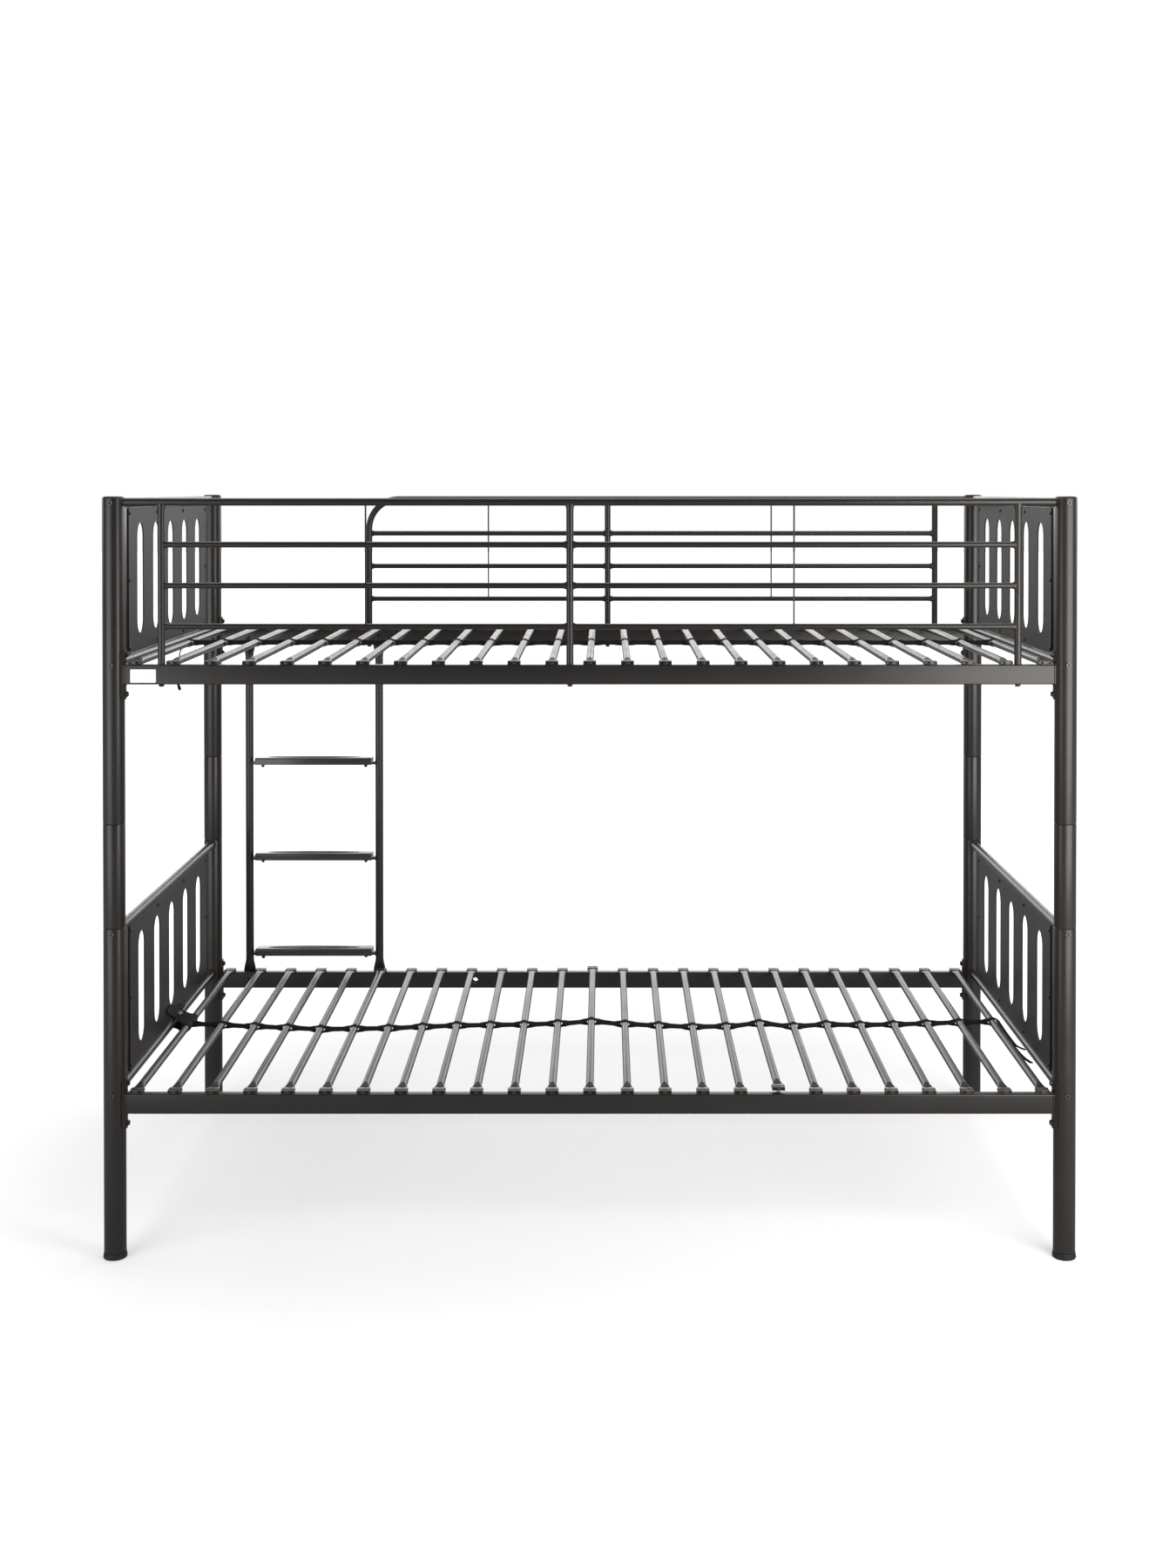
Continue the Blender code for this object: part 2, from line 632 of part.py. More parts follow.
def guard_mesh(top_rail, upright_xs, curved_start):
    """A welded guard in the XZ plane: uprights, rails, wires, end studs and foot bolts."""
    rail_top = UPPER_FRAME_Z + SIDE_RAIL_RISE + RAIL_TOP_OFFSET
    start, end = upright_xs[0], upright_xs[-1]
    standing = upright_xs[1:] if curved_start else upright_xs
    uprights = [swept([(x, 0, rail_top + GAP), (x, 0, GUARD_TOP_HEIGHT)], GUARD_UPRIGHT_DIAMETER / 2,
                      turn=-SECTION_TURN) for x in standing]
    highest = GUARD_TOP_HEIGHT - GUARD_RAIL_TOP_DROP
    pitch = (highest - rail_top - GUARD_RAIL_BOTTOM_RISE) / (GUARD_RAIL_COUNT - 1)
    heights = [highest - index * pitch for index in range(GUARD_RAIL_COUNT)]
    rails = [swept([(start, 0, z), (end, 0, z)], GUARD_RAIL_DIAMETER / 2, turn=SECTION_TURN) for z in heights]
    wire_xs = [(a + b) / 2 for a, b in zip(upright_xs, upright_xs[1:])]
    wires = [swept([(x, 0, heights[-1] - WIRE_SINK), (x, 0, GUARD_TOP_HEIGHT)], WIRE_DIAMETER / 2, 1,
                   2 * SECTION_TURN) for x in wire_xs]
    rail_bottom = UPPER_FRAME_Z + SIDE_RAIL_RISE - RAIL_TOP_OFFSET
    foot_bolt = hex_bolt(SIDE_RAIL_HEIGHT + BOLT_REACH)
    foot_places = [aimed((x, 0, rail_bottom - GAP), (0, 0, -1)) for x in upright_xs]
    foot_bolts = joined([foot_bolt] * len(foot_places), foot_places)
    stud_reach = POST_RADIUS - BOLT_REACH / 2
    ends = [1] if curved_start else [-1, 1]
    studs = [rod(BOLT_RADIUS, (sign * (HALF_X - stud_reach), 0, GUARD_TOP_HEIGHT),
                 (sign * (HALF_X - POST_RADIUS - BOLT_REACH), 0, GUARD_TOP_HEIGHT)) for sign in ends]
    posts = [rod(POST_RADIUS + GAP, (sign * HALF_X, 0, UPPER_FRAME_Z),
                 (sign * HALF_X, 0, UPPER_FRAME_Z + FRAME_POST_LENGTH + OVERRUN), POST_SIDES)
             for sign in ends]
    mesh = combine(swept(top_rail, GUARD_TOP_DIAMETER / 2), ("UNION", joined(uprights)), ("UNION", joined(rails)),
                   ("UNION", joined(wires)), ("DIFFERENCE", joined(posts)), ("UNION", joined(studs)),
                   ("UNION", foot_bolts))
    shade(mesh)
    return mesh


def add_guards():
    top = GUARD_TOP_HEIGHT
    front_top = [(-HALF_X, 0, top), (HALF_X, 0, top)]
    add_part("front_guard", guard_mesh(front_top, FRONT_GUARD_XS, curved_start=False), PAINT, (0, -HALF_Y, 0))
    rail_top = UPPER_FRAME_Z + SIDE_RAIL_RISE + RAIL_TOP_OFFSET
    bend = arc((REAR_GUARD_START_X + GUARD_BEND, top - GUARD_BEND), GUARD_BEND,
               math.pi, math.pi / 2, GUARD_BEND_STEPS)
    rear_top = ([(REAR_GUARD_START_X, 0, rail_top + GAP)] + [(x, 0, z) for x, z in bend]
                + [(HALF_X, 0, top)])
    add_part("rear_guard", guard_mesh(rear_top, REAR_GUARD_XS, curved_start=True), PAINT, (0, HALF_Y, 0))


# Ladder

def add_ladder():
    low_rail = LOWER_FRAME_Z + SIDE_RAIL_RISE
    high_rail = UPPER_FRAME_Z + SIDE_RAIL_RISE
    middle = (low_rail + high_rail) / 2
    half = (high_rail - low_rail + SIDE_RAIL_HEIGHT) / 2
    rings = (half, half - SIDE_RAIL_HEIGHT, half - SIDE_RAIL_HEIGHT - STILE_TAPER)
    heights = [-ring for ring in rings] + [ring for ring in reversed(rings)]
    stile = swept([(0, 0, z) for z in heights], STILE_DIAMETER / 2)
    flatten_ends(stile, 2, half, SIDE_RAIL_HEIGHT, STILE_FLAT_WIDTH / STILE_DIAMETER,
                 STILE_FLAT_THICKNESS / STILE_DIAMETER)
    offset = STILE_SPACING / 2
    stiles = joined([stile, stile], [Matrix.Translation((sign * offset, 0, 0)) for sign in (-1, 1)])
    tread_tops = [LOW_TREAD_TOP + index * TREAD_PITCH for index in range(TREAD_COUNT)]
    rungs = [box((STILE_SPACING, RUNG_WIDTH, RUNG_THICKNESS),
                 (0, 0, top - TREAD_HEIGHT + RUNG_THICKNESS / 2 - middle)) for top in tread_tops]
    bolt = hex_bolt(SIDE_RAIL_DEPTH + STILE_FLAT_THICKNESS / 2)
    inner_face = HALF_Y - SIDE_RAIL_DEPTH / 2 - GAP - STILE_Y
    places = [aimed((sign * offset, inner_face, rail - middle), (0, -1, 0))
              for sign in (-1, 1) for rail in (low_rail, high_rail)]
    mesh = combine(stiles, ("UNION", joined(rungs)), ("UNION", joined([bolt] * len(places), places)))
    shade(mesh)
    add_part("ladder_frame", mesh, PAINT, (LADDER_X, STILE_Y, middle))

    channel = box((TREAD_LENGTH + 2 * OVERRUN, RUNG_WIDTH + 2 * GAP, 2 * (RUNG_THICKNESS + GAP)),
                  (0, 0, -TREAD_HEIGHT / 2))
    rounded = object_of(box((TREAD_LENGTH, TREAD_DEPTH, TREAD_HEIGHT)))
    bevel = rounded.modifiers.new("rounding", "BEVEL")
    bevel.width = TREAD_ROUNDING
    bevel.segments = 2
    tread = combine(evaluated_mesh(rounded), ("DIFFERENCE", channel))
    bpy.data.objects.remove(rounded, do_unlink=True)
    shade(tread)
    for index, top in enumerate(tread_tops):
        add_part(f"ladder_tread_{index + 1}", tread, PLASTIC, (LADDER_X, STILE_Y, top - TREAD_HEIGHT / 2))


# Slat mats

def slat_mesh():
    """One slat along Y with its two pegged end caps, its tube's axis on zero.

    The mat stands a little to the front, so its pegs are set back by as much to meet the rails' holes.
    """
    half = CAP_Y - END_CAP_DEPTH / 2 + CAP_GRIP
    flat = CAP_GRIP
    rings = (half, half - flat, half - flat - SLAT_TAPER)
    ys = [-ring for ring in rings] + [ring for ring in reversed(rings)]
    tube = swept([(0, y, 0) for y in ys], SLAT_DIAMETER / 2, 1)
    flatten_ends(tube, 1, half, flat, SLAT_FLAT_WIDTH / SLAT_DIAMETER, SLAT_FLAT_THICKNESS / SLAT_DIAMETER)
    bottom = GAP - SLAT_LIFT
    caps = [box((END_CAP_WIDTH, END_CAP_DEPTH, END_CAP_HEIGHT), (0, sign * CAP_Y, bottom + END_CAP_HEIGHT / 2))
            for sign in (-1, 1)]
    peg_height = PEG_LENGTH + PEG_ROOT
    pegs = [box((PEG_WIDTH, PEG_WIDTH, peg_height),
                (0, sign * PEG_Y + MAT_FORWARD, bottom + PEG_ROOT - peg_height / 2)) for sign in (-1, 1)]
    return combine(tube, ("UNION", joined(caps)), ("UNION", joined(pegs)))


def mat_mesh(raised, left_overhang):
    """All slats of one berth, joined by the elastic strap at their middle."""
    slat = slat_mesh()
    places = []
    for index, x in enumerate(SLAT_XS):
        front = raised.get(index, 0)
        tip = Matrix.Rotation(-front / (2 * CAP_Y), 4, "X")
        places.append(Matrix.Translation((x, 0, front / 2)) @ tip)
    start = SLAT_XS[0] - left_overhang
    end = SLAT_XS[-1] + STRAP_OVERHANG
    strap = box((end - start, STRAP_WIDTH, STRAP_THICKNESS), ((start + end) / 2, 0, 0))
    mesh = combine(strap, ("UNION", joined([slat] * SLAT_COUNT, places)))
    shade(mesh)
    return mesh


def add_slat_mats():
    rest = SIDE_RAIL_RISE + RAIL_TOP_OFFSET + SLAT_LIFT
    lower = mat_mesh({LOWER_RAISED_SLAT: LOWER_RAISED_FRONT}, 0)
    add_part("lower_slat_mat", lower, PAINT, (0, -MAT_FORWARD, LOWER_FRAME_Z + rest))
    upper = mat_mesh({}, STRAP_OVERHANG)
    add_part("upper_slat_mat", upper, PAINT, (0, -MAT_FORWARD, UPPER_FRAME_Z + rest))
    tail = box((STRAP_TAIL_THICKNESS, STRAP_WIDTH, STRAP_TAIL_LENGTH))
    tail_x = SLAT_XS[0] - STRAP_OVERHANG + STRAP_TAIL_THICKNESS
    tail_z = UPPER_FRAME_Z + rest - STRAP_THICKNESS / 2 - GAP - STRAP_TAIL_LENGTH / 2
    add_part("upper_strap_tail", tail, ELASTIC, (tail_x, -MAT_FORWARD, tail_z))


def add_strap_anchor():
    """The lower strap's end: a loop round the left cross rail and a short lead to the first slat."""
    inner = (CROSS_RAIL_DIAMETER / 2 + GAP) / math.cos(math.pi / STRAP_LOOP_SIDES)
    outer = inner + STRAP_LOOP_THICKNESS
    half = STRAP_LOOP_WIDTH / 2
    loop = turned([(outer, half), (outer, -half), (inner, -half), (inner, half)], STRAP_LOOP_SIDES, closed=True)
    loop.transform(Matrix.Rotation(math.pi / 2, 4, "X"))
    rise = SIDE_RAIL_RISE + RAIL_TOP_OFFSET + SLAT_LIFT - LOW_CROSS_RAIL_RISE
    start = (inner + outer) / 2 * STRAP_LEAD_SHARE
    end = HALF_X + SLAT_XS[0] - SLAT_DIAMETER / 2 - GAP
    lead = box((end - start, STRAP_LEAD_WIDTH, STRAP_THICKNESS), ((start + end) / 2, 0, rise))
    mesh = combine(loop, ("UNION", lead))
    add_part("lower_strap_anchor", mesh, ELASTIC,
             (-HALF_X, STRAP_ANCHOR_SHIFT, LOWER_FRAME_Z + LOW_CROSS_RAIL_RISE))


add_posts()
add_post_bolts()
add_ends()
add_side_rails()
add_guards()
add_ladder()
add_slat_mats()
add_strap_anchor()
bpy.context.view_layer.update()
parts = [item for item in PARTS.objects if item.type == "MESH"]
triangles = sum(len(polygon.vertices) - 2 for item in parts for polygon in item.data.polygons)
print(f"{len(parts)} parts, {triangles} triangles, shift {DEPTH_SHIFT:.4f}")
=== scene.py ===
# %% [markdown]
# # A metal bunk bed, dressed for its photograph
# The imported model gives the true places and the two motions. This lesson puts finely made steel,
# plastic and elastic over it. Everything is in metres: X along the bed, Y from the guarded front to
# the ladder at the back, Z up.

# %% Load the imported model
import math

import bmesh
import bpy
from mathutils import Matrix, Vector


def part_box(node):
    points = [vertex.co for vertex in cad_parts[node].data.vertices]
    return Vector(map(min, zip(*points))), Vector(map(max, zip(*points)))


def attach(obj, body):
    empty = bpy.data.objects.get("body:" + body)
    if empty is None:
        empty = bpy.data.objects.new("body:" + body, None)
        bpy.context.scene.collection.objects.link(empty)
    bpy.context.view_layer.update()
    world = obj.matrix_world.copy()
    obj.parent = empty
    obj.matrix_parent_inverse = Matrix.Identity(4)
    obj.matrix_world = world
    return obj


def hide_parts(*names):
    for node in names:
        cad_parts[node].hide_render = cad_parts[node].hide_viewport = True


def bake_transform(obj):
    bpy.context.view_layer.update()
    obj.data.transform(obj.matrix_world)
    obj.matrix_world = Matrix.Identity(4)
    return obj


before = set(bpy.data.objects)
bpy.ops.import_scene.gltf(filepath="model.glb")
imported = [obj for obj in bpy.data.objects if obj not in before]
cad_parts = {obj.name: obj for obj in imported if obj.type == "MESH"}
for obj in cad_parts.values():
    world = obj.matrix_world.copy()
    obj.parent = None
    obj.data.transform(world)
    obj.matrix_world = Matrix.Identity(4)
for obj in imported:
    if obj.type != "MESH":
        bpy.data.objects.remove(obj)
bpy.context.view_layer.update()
scene = bpy.context.scene

# %% [markdown]
# The ladder stands out at the back, so the middle of the whole bed isn't the middle of its posts.
# Pieces are drawn about the middle of the posts and moved by that small shift when they are settled.

# %% The bed's own sizes
front_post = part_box("lower_post_left_front")
rear_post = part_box("lower_post_left_rear")
HALF_X = -(front_post[0].x + front_post[1].x) / 2
SHIFT = (front_post[0].y + front_post[1].y + rear_post[0].y + rear_post[1].y) / 4
HALF_Y = (rear_post[0].y + rear_post[1].y) / 2 - SHIFT
POST_RADIUS = 0.02225
POST_LENGTH = 0.660
LOWER_BASE, UPPER_BASE = 0.012, 0.884
RAIL_RISE, LOW_CROSS_RISE, HIGH_CROSS_RISE = 0.302, 0.3224, 0.6497
RAIL_HEIGHT, RAIL_DEPTH = 0.040, 0.020
RAIL_TOP = UPPER_BASE + RAIL_RISE + RAIL_HEIGHT / 2
SLAT_COUNT, SLAT_PITCH = 25, 0.0767
SLAT_AXIS_RISE = 0.3258
MAT_FORWARD = 0.00225
SIDES = (("left", -1), ("right", 1))
CORNERS = [(f"{side}_{row}", sx * HALF_X, sy * HALF_Y, sx, sy)
           for side, sx in SIDES for row, sy in (("front", -1), ("rear", 1))]
LEVELS = (("lower", LOWER_BASE), ("upper", UPPER_BASE))
print(f"posts at {HALF_X:.3f} and {HALF_Y:.3f} m, moved by {SHIFT * 1000:.2f} mm")

# %% [markdown]
# ## Camera
# The photograph was taken with a level camera a little above the upper berth, and cropped, so the
# lens is shifted and hardly tilted. The numbers come from fitting the posts, rails and slats.


# %% Camera at the photograph's place
def linked(name, data):
    """An object that holds some data, linked into the scene."""
    item = bpy.data.objects.new(name, data)
    scene.collection.objects.link(item)
    return item


DOWNWARD_TILT = 0.648
lens = bpy.data.cameras.new("photo_camera")
lens.lens, lens.sensor_width = 41.24, 36
lens.shift_x, lens.shift_y = -0.0105, -0.1756
scene.camera = linked("photo_camera", lens)
scene.camera.location = (0.030, -4.102, 1.563)
scene.camera.rotation_euler = (math.radians(90 - DOWNWARD_TILT), 0, 0)
scene.view_settings.view_transform = "Standard"
print("lens", round(lens.lens, 2), "mm")

# %% [markdown]
# ## Light
# The round posts show where the lamps were: each has two bright bands with a dark middle, so two
# wide softboxes stood to the front left and front right, and nothing bright stood by the camera. The
# slats are pale only where they mirror what lies behind the bed, so the white backdrop lights them.

# %% Softboxes
LAMPS = (("softbox_left", (-2.72, -2.25, 1.20), (-2.72, 0, 1.00), 2.7, 2.2, 53),
         ("softbox_right", (2.04, -1.90, 1.25), (2.04, 0, 1.05), 2.16, 1.9, 72),
         ("softbox_top", (0, 0.6, 3.4), (0, 0, 0.8), 3.2, 2.4, 48))
for name, place, aim, width, height, watts in LAMPS:
    lamp = bpy.data.lights.new(name, "AREA")
    lamp.shape = "RECTANGLE"
    lamp.size, lamp.size_y, lamp.energy = width, height, watts
    stand = linked(name, lamp)
    stand.location = place
    stand.rotation_euler = (Vector(aim) - Vector(place)).to_track_quat("-Z", "Y").to_euler()
    print(name, watts, "W")

# %% [markdown]
# One helper writes a node tree from top to bottom. Called with a kind of node, it adds the node, sets
# it and joins it to others. Its methods are the sums, smooth steps and rows that come up again and
# again.


# %% Node helper
class Nodes:
    """Writes one tree. A node's input is a value, a socket, or a node that stands for its first output."""

    def __init__(self, tree, inputs=None, outputs=None):
        self.tree = tree
        for way, sockets in (("INPUT", inputs), ("OUTPUT", outputs)):
            for label, socket in (sockets or {}).items():
                tree.interface.new_socket(label, in_out=way, socket_type=f"NodeSocket{socket}")
        if outputs:
            self.given = tree.nodes.new("NodeGroupInput").outputs
            self.out = tree.nodes.new("NodeGroupOutput").inputs

    def __call__(self, kind, inputs=None, **settings):
        node = self.tree.nodes.new(kind)
        for name, value in settings.items():
            setattr(node, name, value)
        for name, value in (inputs or {}).items():
            self.feed(value, node.inputs[name])
        return node

    def feed(self, value, socket):
        if isinstance(value, bpy.types.Node):
            value = value.outputs[0]
        if isinstance(value, bpy.types.NodeSocket):
            self.tree.links.new(value, socket)
        else:
            socket.default_value = value

    def calc(self, operation, *values):
        return self("ShaderNodeMath", dict(enumerate(values)), operation=operation)

    def ramp(self, value, low, high, at_low, at_high):
        return self("ShaderNodeMapRange", {0: value, 1: low, 2: high, 3: at_low, 4: at_high},
                    interpolation_type="SMOOTHSTEP")

    def vector(self, **parts):
        return self("ShaderNodeCombineXYZ", parts)

    def scaled(self, colour, share):
        return self("ShaderNodeVectorMath", {0: colour, "Scale": share}, operation="SCALE")

    def join(self, *parts):
        joined = self("GeometryNodeJoinGeometry")
        for part in parts:
            self.feed(part, joined.inputs[0])
        return joined

    def row(self, count, pitch, place):
        """Points along X at one pitch, with the middle of the row at a place."""
        span = self.calc("MULTIPLY", self.calc("SUBTRACT", count, 1.0), pitch)
        back = self.vector(X=self.calc("MULTIPLY", span, -0.5))
        start = self("ShaderNodeVectorMath", {0: back, 1: place}, operation="ADD")
        return self("GeometryNodeMeshLine", {"Count": count, "Start Location": start, "Offset": self.vector(X=pitch)},
                    mode="OFFSET")

    def set_on(self, points, model, **settings):
        return self("GeometryNodeInstanceOnPoints", {"Points": points, "Instance": model, **settings})

    def oblong(self, width, height, radius, steps):
        plain = self("GeometryNodeCurvePrimitiveQuadrilateral", {"Width": width, "Height": height})
        return self("GeometryNodeFilletCurve", {"Curve": plain, "Radius": radius, "Count": steps}, mode="POLY")

    def finish(self, geometry):
        """Every geometry tree ends the same way: real faces, then the finish."""
        real = self("GeometryNodeRealizeInstances", {0: geometry})
        self.feed(self("GeometryNodeSetMaterial", {"Geometry": real, "Material": self.given["Finish"]}), self.out[0])
        print(self.tree.name, len(self.tree.nodes), "nodes")


def emptied(owner):
    """The bare node tree of a world or a material."""
    owner.use_nodes = True
    owner.node_tree.nodes.clear()
    return Nodes(owner.node_tree)


print("node helper ready")

# %% [markdown]
# The world is a plain light grey for the diffuse light. The camera sees it white. Gloss sees the
# white backdrop behind the bed and above it, and the dim room on the camera's side.

# %% World
DIFFUSE_SKY = 0.5
scene.world = bpy.data.worlds.new("studio")
sky = emptied(scene.world)
axes = sky("ShaderNodeSeparateXYZ", {0: sky("ShaderNodeTexCoord").outputs["Generated"]}).outputs
behind = sky.ramp(axes["Y"], 0.0, 0.6, 0.02, 1.0)
higher = sky.ramp(axes["Z"], 0.0, 0.55, 3.7, 0.3)
horizon = sky.ramp(axes["Z"], 0.0, 0.12, 0.16, 1.0)
mirrored = sky.calc("MULTIPLY", behind, sky.calc("MULTIPLY", higher, horizon))
ray = sky("ShaderNodeLightPath").outputs
glossy = sky.calc("MAXIMUM", ray["Is Glossy Ray"], ray["Is Transmission Ray"])
lit = sky("ShaderNodeMix", {0: glossy, 2: DIFFUSE_SKY, 3: mirrored})
seen = sky("ShaderNodeMix", {0: ray["Is Camera Ray"], 2: lit, 3: 1.0})
studio = sky("ShaderNodeBackground", {"Color": (1, 1, 1, 1), "Strength": seen})
sky("ShaderNodeOutputWorld", {"Surface": studio})
print(len(sky.tree.nodes), "world nodes")

# %% [markdown]
# The floor is a plain pale sheet. It keeps the soft shadow under the bed, and a little glow that
# only the camera and gloss can see lifts the open floor to the white of the photograph.

# %% Floor
MIRRORED_GLOW = 0.22
PALE, MIRRORED_PALE = (0.8, 0.8, 0.8, 1), (0.28, 0.28, 0.28, 1)
floor_mesh = bpy.data.meshes.new("pale_floor")
floor_mesh.from_pydata([(-30, -12, 0), (30, -12, 0), (30, 40, 0), (-30, 40, 0)], [], [(0, 1, 2, 3)])
floor_paint = bpy.data.materials.new("pale_floor")
boards = emptied(floor_paint)
ray = boards("ShaderNodeLightPath").outputs
floor_seen = boards.calc("MAXIMUM", ray["Is Camera Ray"], ray["Is Glossy Ray"])
floor_place = boards("ShaderNodeTexCoord").outputs["Object"]
floor_reach = boards("ShaderNodeVectorMath", {0: floor_place}, operation="LENGTH").outputs["Value"]
glow = boards.calc("MULTIPLY", floor_seen, boards.ramp(floor_reach, 0.8, 3.6, 0.25, 1.0))
dim_glow = boards.calc("MULTIPLY", glow, MIRRORED_GLOW)
glow_seen = boards("ShaderNodeMix", {0: ray["Is Glossy Ray"], 2: glow, 3: dim_glow})
sheet_tone = boards("ShaderNodeMix", {0: ray["Is Glossy Ray"], 6: PALE, 7: MIRRORED_PALE}, data_type="RGBA")
floor_sum = boards("ShaderNodeAddShader", {
    0: boards("ShaderNodeEmission", {"Strength": glow_seen}),
    1: boards("ShaderNodeBsdfDiffuse", {"Color": sheet_tone.outputs[2]})})
boards("ShaderNodeOutputMaterial", {"Surface": floor_sum})
floor_mesh.materials.append(floor_paint)
linked("pale_floor", floor_mesh)
print("floor laid")

# %% [markdown]
# ## Finishes
# The steel is powder coated: fine grains of dark paint melted on, so the surface has a faint orange
# peel, a slight unevenness of tone and a soft gloss. One shader group makes the grain for any piece
# that has it, and each material gives it its own colour and scale.

# %% Shader group: powder grain
CLOUD_SCALE, FLECK_SHARE, ROUGHNESS_SWING = 9.0, 2.6, 0.12
grain = Nodes(
    bpy.data.node_groups.new("powder_grain", "ShaderNodeTree"),
    {"Place": "Vector", "Colour": "Color", "Grain scale": "Float", "Unevenness": "Float", "Roughness": "Float"},
    {"Colour": "Color", "Roughness": "Float", "Height": "Float"})
given = grain.given


def noise(scale, detail):
    return grain("ShaderNodeTexNoise", {"Vector": given["Place"], "Scale": scale, "Detail": detail}).outputs["Fac"]


fleck_scale = grain.calc("MULTIPLY", given["Grain scale"], FLECK_SHARE)
both = grain.calc("ADD", noise(CLOUD_SCALE, 3.0), noise(fleck_scale, 1.0))
swing = grain.calc("SUBTRACT", both, 1.0)
uneven = grain.calc("MULTIPLY_ADD", swing, given["Unevenness"], 1.0)
grain.feed(grain.scaled(given["Colour"], uneven), grain.out["Colour"])
grain.feed(grain.calc("MULTIPLY_ADD", swing, ROUGHNESS_SWING, given["Roughness"]), grain.out["Roughness"])
grain.feed(noise(given["Grain scale"], 2.0), grain.out["Height"])
print("powder grain", len(grain.tree.nodes), "nodes")

# %% [markdown]
# The elastic is woven: fine ribs run across the band, and rubber cords run along it. The band
# carries its own length and width in a UV map, so the ribs follow it round each slat.

# %% Shader group: elastic weave
weave = Nodes(
    bpy.data.node_groups.new("elastic_weave", "ShaderNodeTree"),
    {"Band": "Vector", "Rib spacing": "Float", "Cord spacing": "Float", "Colour": "Color"},
    {"Colour": "Color", "Height": "Float"})
given = weave.given
band_axes = weave("ShaderNodeSeparateXYZ", {0: given["Band"]}).outputs


def wave(axis, spacing, kind):
    turns = weave.calc("DIVIDE", band_axes[axis], given[spacing])
    return weave.calc(kind, weave.calc("MULTIPLY", turns, math.tau))


knit = weave.calc("MULTIPLY", wave("X", "Rib spacing", "SINE"), wave("Y", "Cord spacing", "COSINE"))
knit_height = weave.calc("MULTIPLY_ADD", knit, 0.5, 0.5)
knit_tone = weave.calc("MULTIPLY_ADD", knit_height, 0.9, 0.55)
weave.feed(weave.scaled(given["Colour"], knit_tone), weave.out["Colour"])
weave.feed(knit_height, weave.out["Height"])
print("elastic weave", len(weave.tree.nodes), "nodes")

# %% [markdown]
# A finish is the Principled shader with a group before it. On the coats the bump is a few hundredths
# of a millimetre: enough to soften the edge of each highlight.


# %% Finishes from the two groups
def finish_of(name, group, place_label, bump, group_values, shader_values, uv_map=None):
    material = bpy.data.materials.new(name)
    material.use_nodes = True
    nodes = Nodes(material.node_tree)
    shader = material.node_tree.nodes["Principled BSDF"].inputs
    place = nodes("ShaderNodeUVMap", uv_map=uv_map) if uv_map else nodes("ShaderNodeTexCoord").outputs["Object"]
    surface = nodes("ShaderNodeGroup", node_tree=group.tree)
    for label, value in {place_label: place, **group_values}.items():
        nodes.feed(value, surface.inputs[label])
    relief = nodes("ShaderNodeBump", {"Strength": 1.0, "Distance": bump, "Height": surface.outputs["Height"]})
    for label, value in {**shader_values, "Base Color": surface, "Normal": relief}.items():
        nodes.feed(value, shader[label])
    if "Roughness" in surface.outputs:
        nodes.feed(surface.outputs["Roughness"], shader["Roughness"])
    return material


WARM_TINT = (1.0, 0.965, 0.935, 1)


def coated(name, colour, roughness, scale, unevenness, bump, metallic=0.0, specular=0.5):
    return finish_of(name, grain, "Place", bump,
                     {"Colour": (*colour, 1), "Grain scale": scale, "Unevenness": unevenness, "Roughness": roughness},
                     {"Metallic": metallic, "Specular IOR Level": specular, "Specular Tint": WARM_TINT})


graphite_coat = coated("graphite_powder_coat", (0.0175, 0.0155, 0.0140), 0.32, 520, 0.30, 0.00004)
sheet_coat = coated("graphite_sheet_coat", (0.0185, 0.0162, 0.0145), 0.42, 420, 0.34, 0.00005, specular=0.28)
moulded_black = coated("moulded_black_plastic", (0.0150, 0.0142, 0.0136), 0.50, 700, 0.25, 0.00003, specular=0.32)
tread_plastic = coated("ladder_tread_plastic", (0.0385, 0.0352, 0.0325), 0.22, 700, 0.25, 0.00002)
pad_plastic = coated("tread_pad_plastic", (0.0240, 0.0222, 0.0205), 0.50, 700, 0.25, 0.00003, specular=0.28)
cap_plastic = coated("slat_cap_plastic", (0.0260, 0.0250, 0.0240), 0.30, 650, 0.40, 0.00005, specular=0.55)
bolt_black = coated("blackened_bolt_steel", (0.030, 0.029, 0.028), 0.34, 900, 0.35, 0.00002, metallic=0.6)
# The cross-rail screws get a lighter metal colour than the other bolts: a painted highlight, so that their heads show
# a light ring.
ring_highlight_black = coated("worn_screw_steel", (0.105, 0.100, 0.095), 0.38, 900, 0.35, 0.00002, metallic=0.85)
eyelet_steel = coated("eyelet_steel", (0.50, 0.49, 0.47), 0.30, 900, 0.20, 0.00001, metallic=1.0)
patch_film = coated("blank_patch_film", (0.86, 0.86, 0.86), 0.45, 300, 0.03, 0.00001)
elastic_black = finish_of(
    "woven_elastic", weave, "Band", 0.0002,
    {"Rib spacing": 0.0016, "Cord spacing": 0.0018, "Colour": (0.0095, 0.0088, 0.0082, 1)},
    {"Roughness": 0.82, "Sheen Weight": 0.03, "Specular IOR Level": 0.25}, uv_map="band")
print("ten coated finishes and one elastic")

# %% [markdown]
# ## Helpers for steel shapes
# Every steel shape here is turned, drawn along a line or bent from sheet. So there are three
# helpers: one spins a profile, one lofts sections along a path and one rounds a block. Each adds to
# a shape that is still open, so one mesh can hold several.


# %% Turned shapes
QUARTER = math.pi / 2


def arc(centre, radius, start, end, steps):
    angles = [start + (end - start) * step / steps for step in range(steps + 1)]
    return [(centre[0] + radius * math.cos(a), centre[1] + radius * math.sin(a)) for a in angles]


